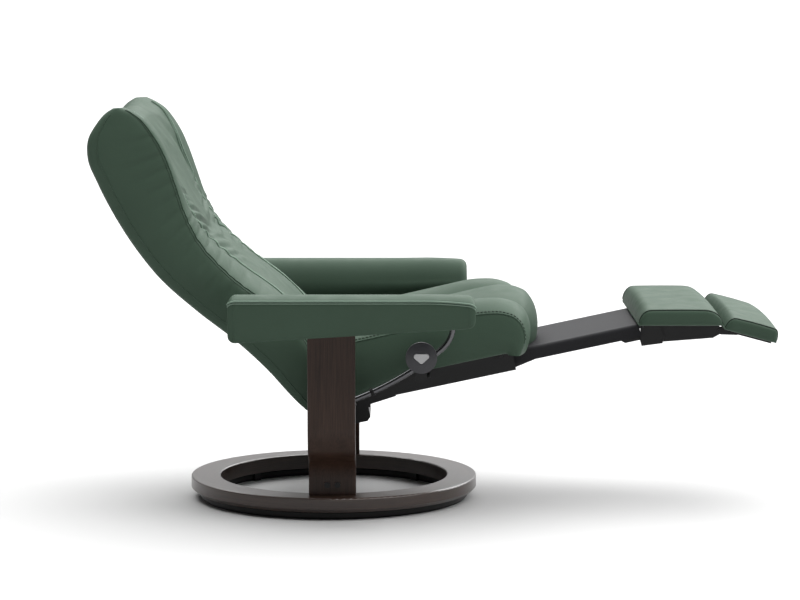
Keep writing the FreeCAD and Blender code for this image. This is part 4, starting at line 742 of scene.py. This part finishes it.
for sign in (-1, 1):
    for x, z, near, far, drop, width, deep in NECK_FOLDS:
        start = front_spot(x, z, sign * near, FRONT)
        end = front_spot(x, z, sign * far, FRONT)
        folds.append((start, (end[0] - drop, end[1]), width, deep))
    # Between the bolster's two seams
    for x, z, deep in BOLSTER_PULLS:
        start = front_spot(x, z, sign * 205, FRONT)
        end = front_spot(x, z, sign * 288, FRONT)
        folds.append((start, (end[0] - 3, end[1]), 7, deep))
    # From the front seam a little way over the side panel
    seam = seam_starts[3] if sign > 0 else seam_starts[6]
    for number, (x, z) in enumerate(SIDE_PLEATS):
        ring = front_spot(x, z, sign * 290, FRONT)[0]
        reach = 5 + (number * 3) % 4
        folds.append(((ring, seam), (ring - 2, seam - sign * reach), 8, 2.2))
press_folds(back_cover, around, folds)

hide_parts("back_shell", "back_cushion", "head_shell", "head_cushion")
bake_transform(back_cover)
seams = []
for side_name, edge, crest, rear, out in (
        ("right", seam_starts[6], seam_starts[5], seam_starts[7] - 1, 1),
        ("left", seam_starts[3], seam_starts[4], seam_starts[2] + 1, -1)):
    # The crest seams take the paler leather, a painted highlight, and the outer front seam the darker
    # leather, painted shade
    for seam_name, column, last, lift, radius, material in (
            ("front_seam_outer_", edge, 148, 0.0, 0.0008, LEATHER_SHADE),
            ("front_seam_inner_", edge - out, 148, 0.0006, 0.0012, LEATHER),
            ("crest_seam_0_", crest, 146, 0.0010, 0.0017, LEATHER_PAINTED_HIGHLIGHT),
            ("crest_seam_1_", crest - out, 146, 0.0010, 0.0017, LEATHER_PAINTED_HIGHLIGHT),
            ("rear_seam_", rear, 146, 0.0003, 0.0010, LEATHER)):
        line = cover_line(back_cover, around, column, 2, last, lift)
        seams.append(piping(seam_name + side_name, line, radius, material))
for seam in seams:
    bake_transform(seam)


# Leg rest beam
# A flat aluminium box section that slides out of the housing, pushed by the drive's rod, with
# a grey structure coat. Stamped steel cheeks close the space below the footrest's hinge.

# Structure coat: dark grey and rough, so that it is pale only at a low angle
BEAM_COAT = hard_finish("structure coat on aluminium, dark grey", "#242426", 0.6, grit=700.0, depth=0.2,
                        gloss=0.08)
finish(BEAM_COAT, "leg_beam")
finish(BLACK_PLASTIC, "beam_block", "beam_wedge")
finish(BLACK_COAT, "beam_lugs")
finish(ZINC, "actuator_rod")

# Each cheek is cut out of a plate by its seven sheared edges
CHEEK = [(664, 362), (667, 351), (712, 357), (716, 372), (706, 398), (668, 400), (664, 390)]
CHEEK_THICK, CHEEK_PLACE = 0.0045, 0.14425
cheeks = []
for side in (-1, 1):
    bpy.ops.object.select_all(action="DESELECT")
    bpy.ops.mesh.primitive_cube_add(size=1, location=(0.690, side * CHEEK_PLACE, 0.3755))
    plate = bpy.context.active_object
    plate.scale = (0.08, CHEEK_THICK, 0.08)
    bpy.ops.object.transform_apply(location=True, rotation=True, scale=True)
    bpy.ops.object.mode_set(mode="EDIT")
    for (x, z), (next_x, next_z) in zip(CHEEK, CHEEK[1:] + CHEEK[:1]):
        outward = Vector((next_z - z, 0, x - next_x)).normalized()
        bpy.ops.mesh.select_all(action="SELECT")
        bpy.ops.mesh.bisect(plane_co=(x / 1000, 0, z / 1000), plane_no=outward, use_fill=True,
                            clear_outer=True)
    bpy.ops.object.mode_set(mode="OBJECT")
    cheeks.append(plate)
hinge_cheeks = joined("hinge_cheeks", cheeks)
bevel = hinge_cheeks.modifiers.new("Bevel", "BEVEL")
bevel.width = 0.0008
bevel.segments = 2
bpy.ops.object.modifier_apply(modifier="Bevel")
hinge_cheeks.data.materials.clear()
hinge_cheeks.data.materials.append(BLACK_COAT)
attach(hinge_cheeks, "leg_beam")


# Footrest and flap
# Two flat foam pads in leather on pressed steel trays, each with a D-shaped end panel and a
# top that rolls down to its edges. The trays hang on pins in the beam's lugs.
finish(BLACK_COAT, "footrest_tray", "footrest_pins", "flap_tray")
FOOT_COUNTS = (40, 10, 60, 10)
FOOT_HALF = 240


def pad_rings(profile, half_width):
    """Rings of a flat pad along X, from the place, base, height and end inset of each station."""
    rings = []
    for x, low, tall, inset in profile:
        half = half_width - inset
        side = tall * 0.93
        corners = [(-half, 0), (half, 0), (half, side), (-half, side)]
        bulges = [0, min(1.5, tall / 6), tall - side + min(4, tall / 8), min(1.5, tall / 6)]
        outline = eased_outline(outline_points(corners, bulges, FOOT_COUNTS), 3)
        rings.append([(x / 1000, y / 1000, (low + d) / 1000) for y, d in outline])
    return np.array(rings)


def rounded_profile(length, tall, rear_round, front_round, crown, steps=64):
    """Heights along a pad: rounded at both ends with a slight crown between."""
    profile = []
    for k in range(steps + 1):
        x = length * (0.5 - 0.5 * math.cos(math.pi * k / steps))
        rise = tall
        ease = 0
        if x < rear_round:
            share = 1 - x / rear_round
            rise = tall * (1 - share ** 2.4) ** 0.5
            ease = 8 * share ** 3
        if x > length - front_round:
            share = 1 - (length - x) / front_round
            rise = tall * (1 - share ** 2.5) ** 0.5
            ease = 8 * share ** 3
        rise = max(rise, tall * 0.1) + crown * math.sin(math.pi * x / length)
        profile.append((x, rise, ease))
    return profile


def end_seams(name, rings):
    """Seams round both end panels of a flat pad, dark with painted shade, as one mesh."""
    starts = np.cumsum((0,) + FOOT_COUNTS)
    seams = []
    for number, column in enumerate((starts[2], starts[3])):
        sign = 1 if number == 0 else -1
        path = [np.array(ring[column]) + (0, sign * 0.0004, 0.0002) for ring in rings[2:-2]]
        seams.append(piping("%s_%d" % (name, number), path, 0.0014, SEAM_PAINTED_SHADE))
    return joined(name, seams)


FOOT_REAR, FOOT_BASE = 654, 404.3
foot_profile = [(FOOT_REAR + x, FOOT_BASE, rise, ease)
                for x, rise, ease in rounded_profile(178, 38.5, 28, 46, 1)]
foot_rings = pad_rings(foot_profile, FOOT_HALF)
foot_cover = skin("footrest_cover", foot_rings, LEATHER)
foot_seams = end_seams("footrest_seams", foot_rings)
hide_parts("footrest_cushion")

# The flap hangs forward and down from its hinge
FLAP_TILT = math.radians(15)
FLAP_HINGE_X, FLAP_HINGE_Z = 0.835, 0.384
flap_profile = [(x - 2, 12.3, rise, ease) for x, rise, ease in rounded_profile(113, 33, 18, 12, 2)]
flat_flap = pad_rings(flap_profile, FOOT_HALF)
along, up = flat_flap[..., 0], flat_flap[..., 2]
flap_rings = np.stack([FLAP_HINGE_X + along * math.cos(FLAP_TILT) + up * math.sin(FLAP_TILT),
                       flat_flap[..., 1],
                       FLAP_HINGE_Z - along * math.sin(FLAP_TILT) + up * math.cos(FLAP_TILT)], axis=-1)
flap_cover = skin("flap_cover", flap_rings, LEATHER)
flap_seams = end_seams("flap_seams", flap_rings)
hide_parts("flap_cushion")
for piece, body in ((foot_cover, "footrest"), (foot_seams, "footrest"), (flap_cover, "foot_flap"),
                    (flap_seams, "foot_flap")):
    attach(piece, body)
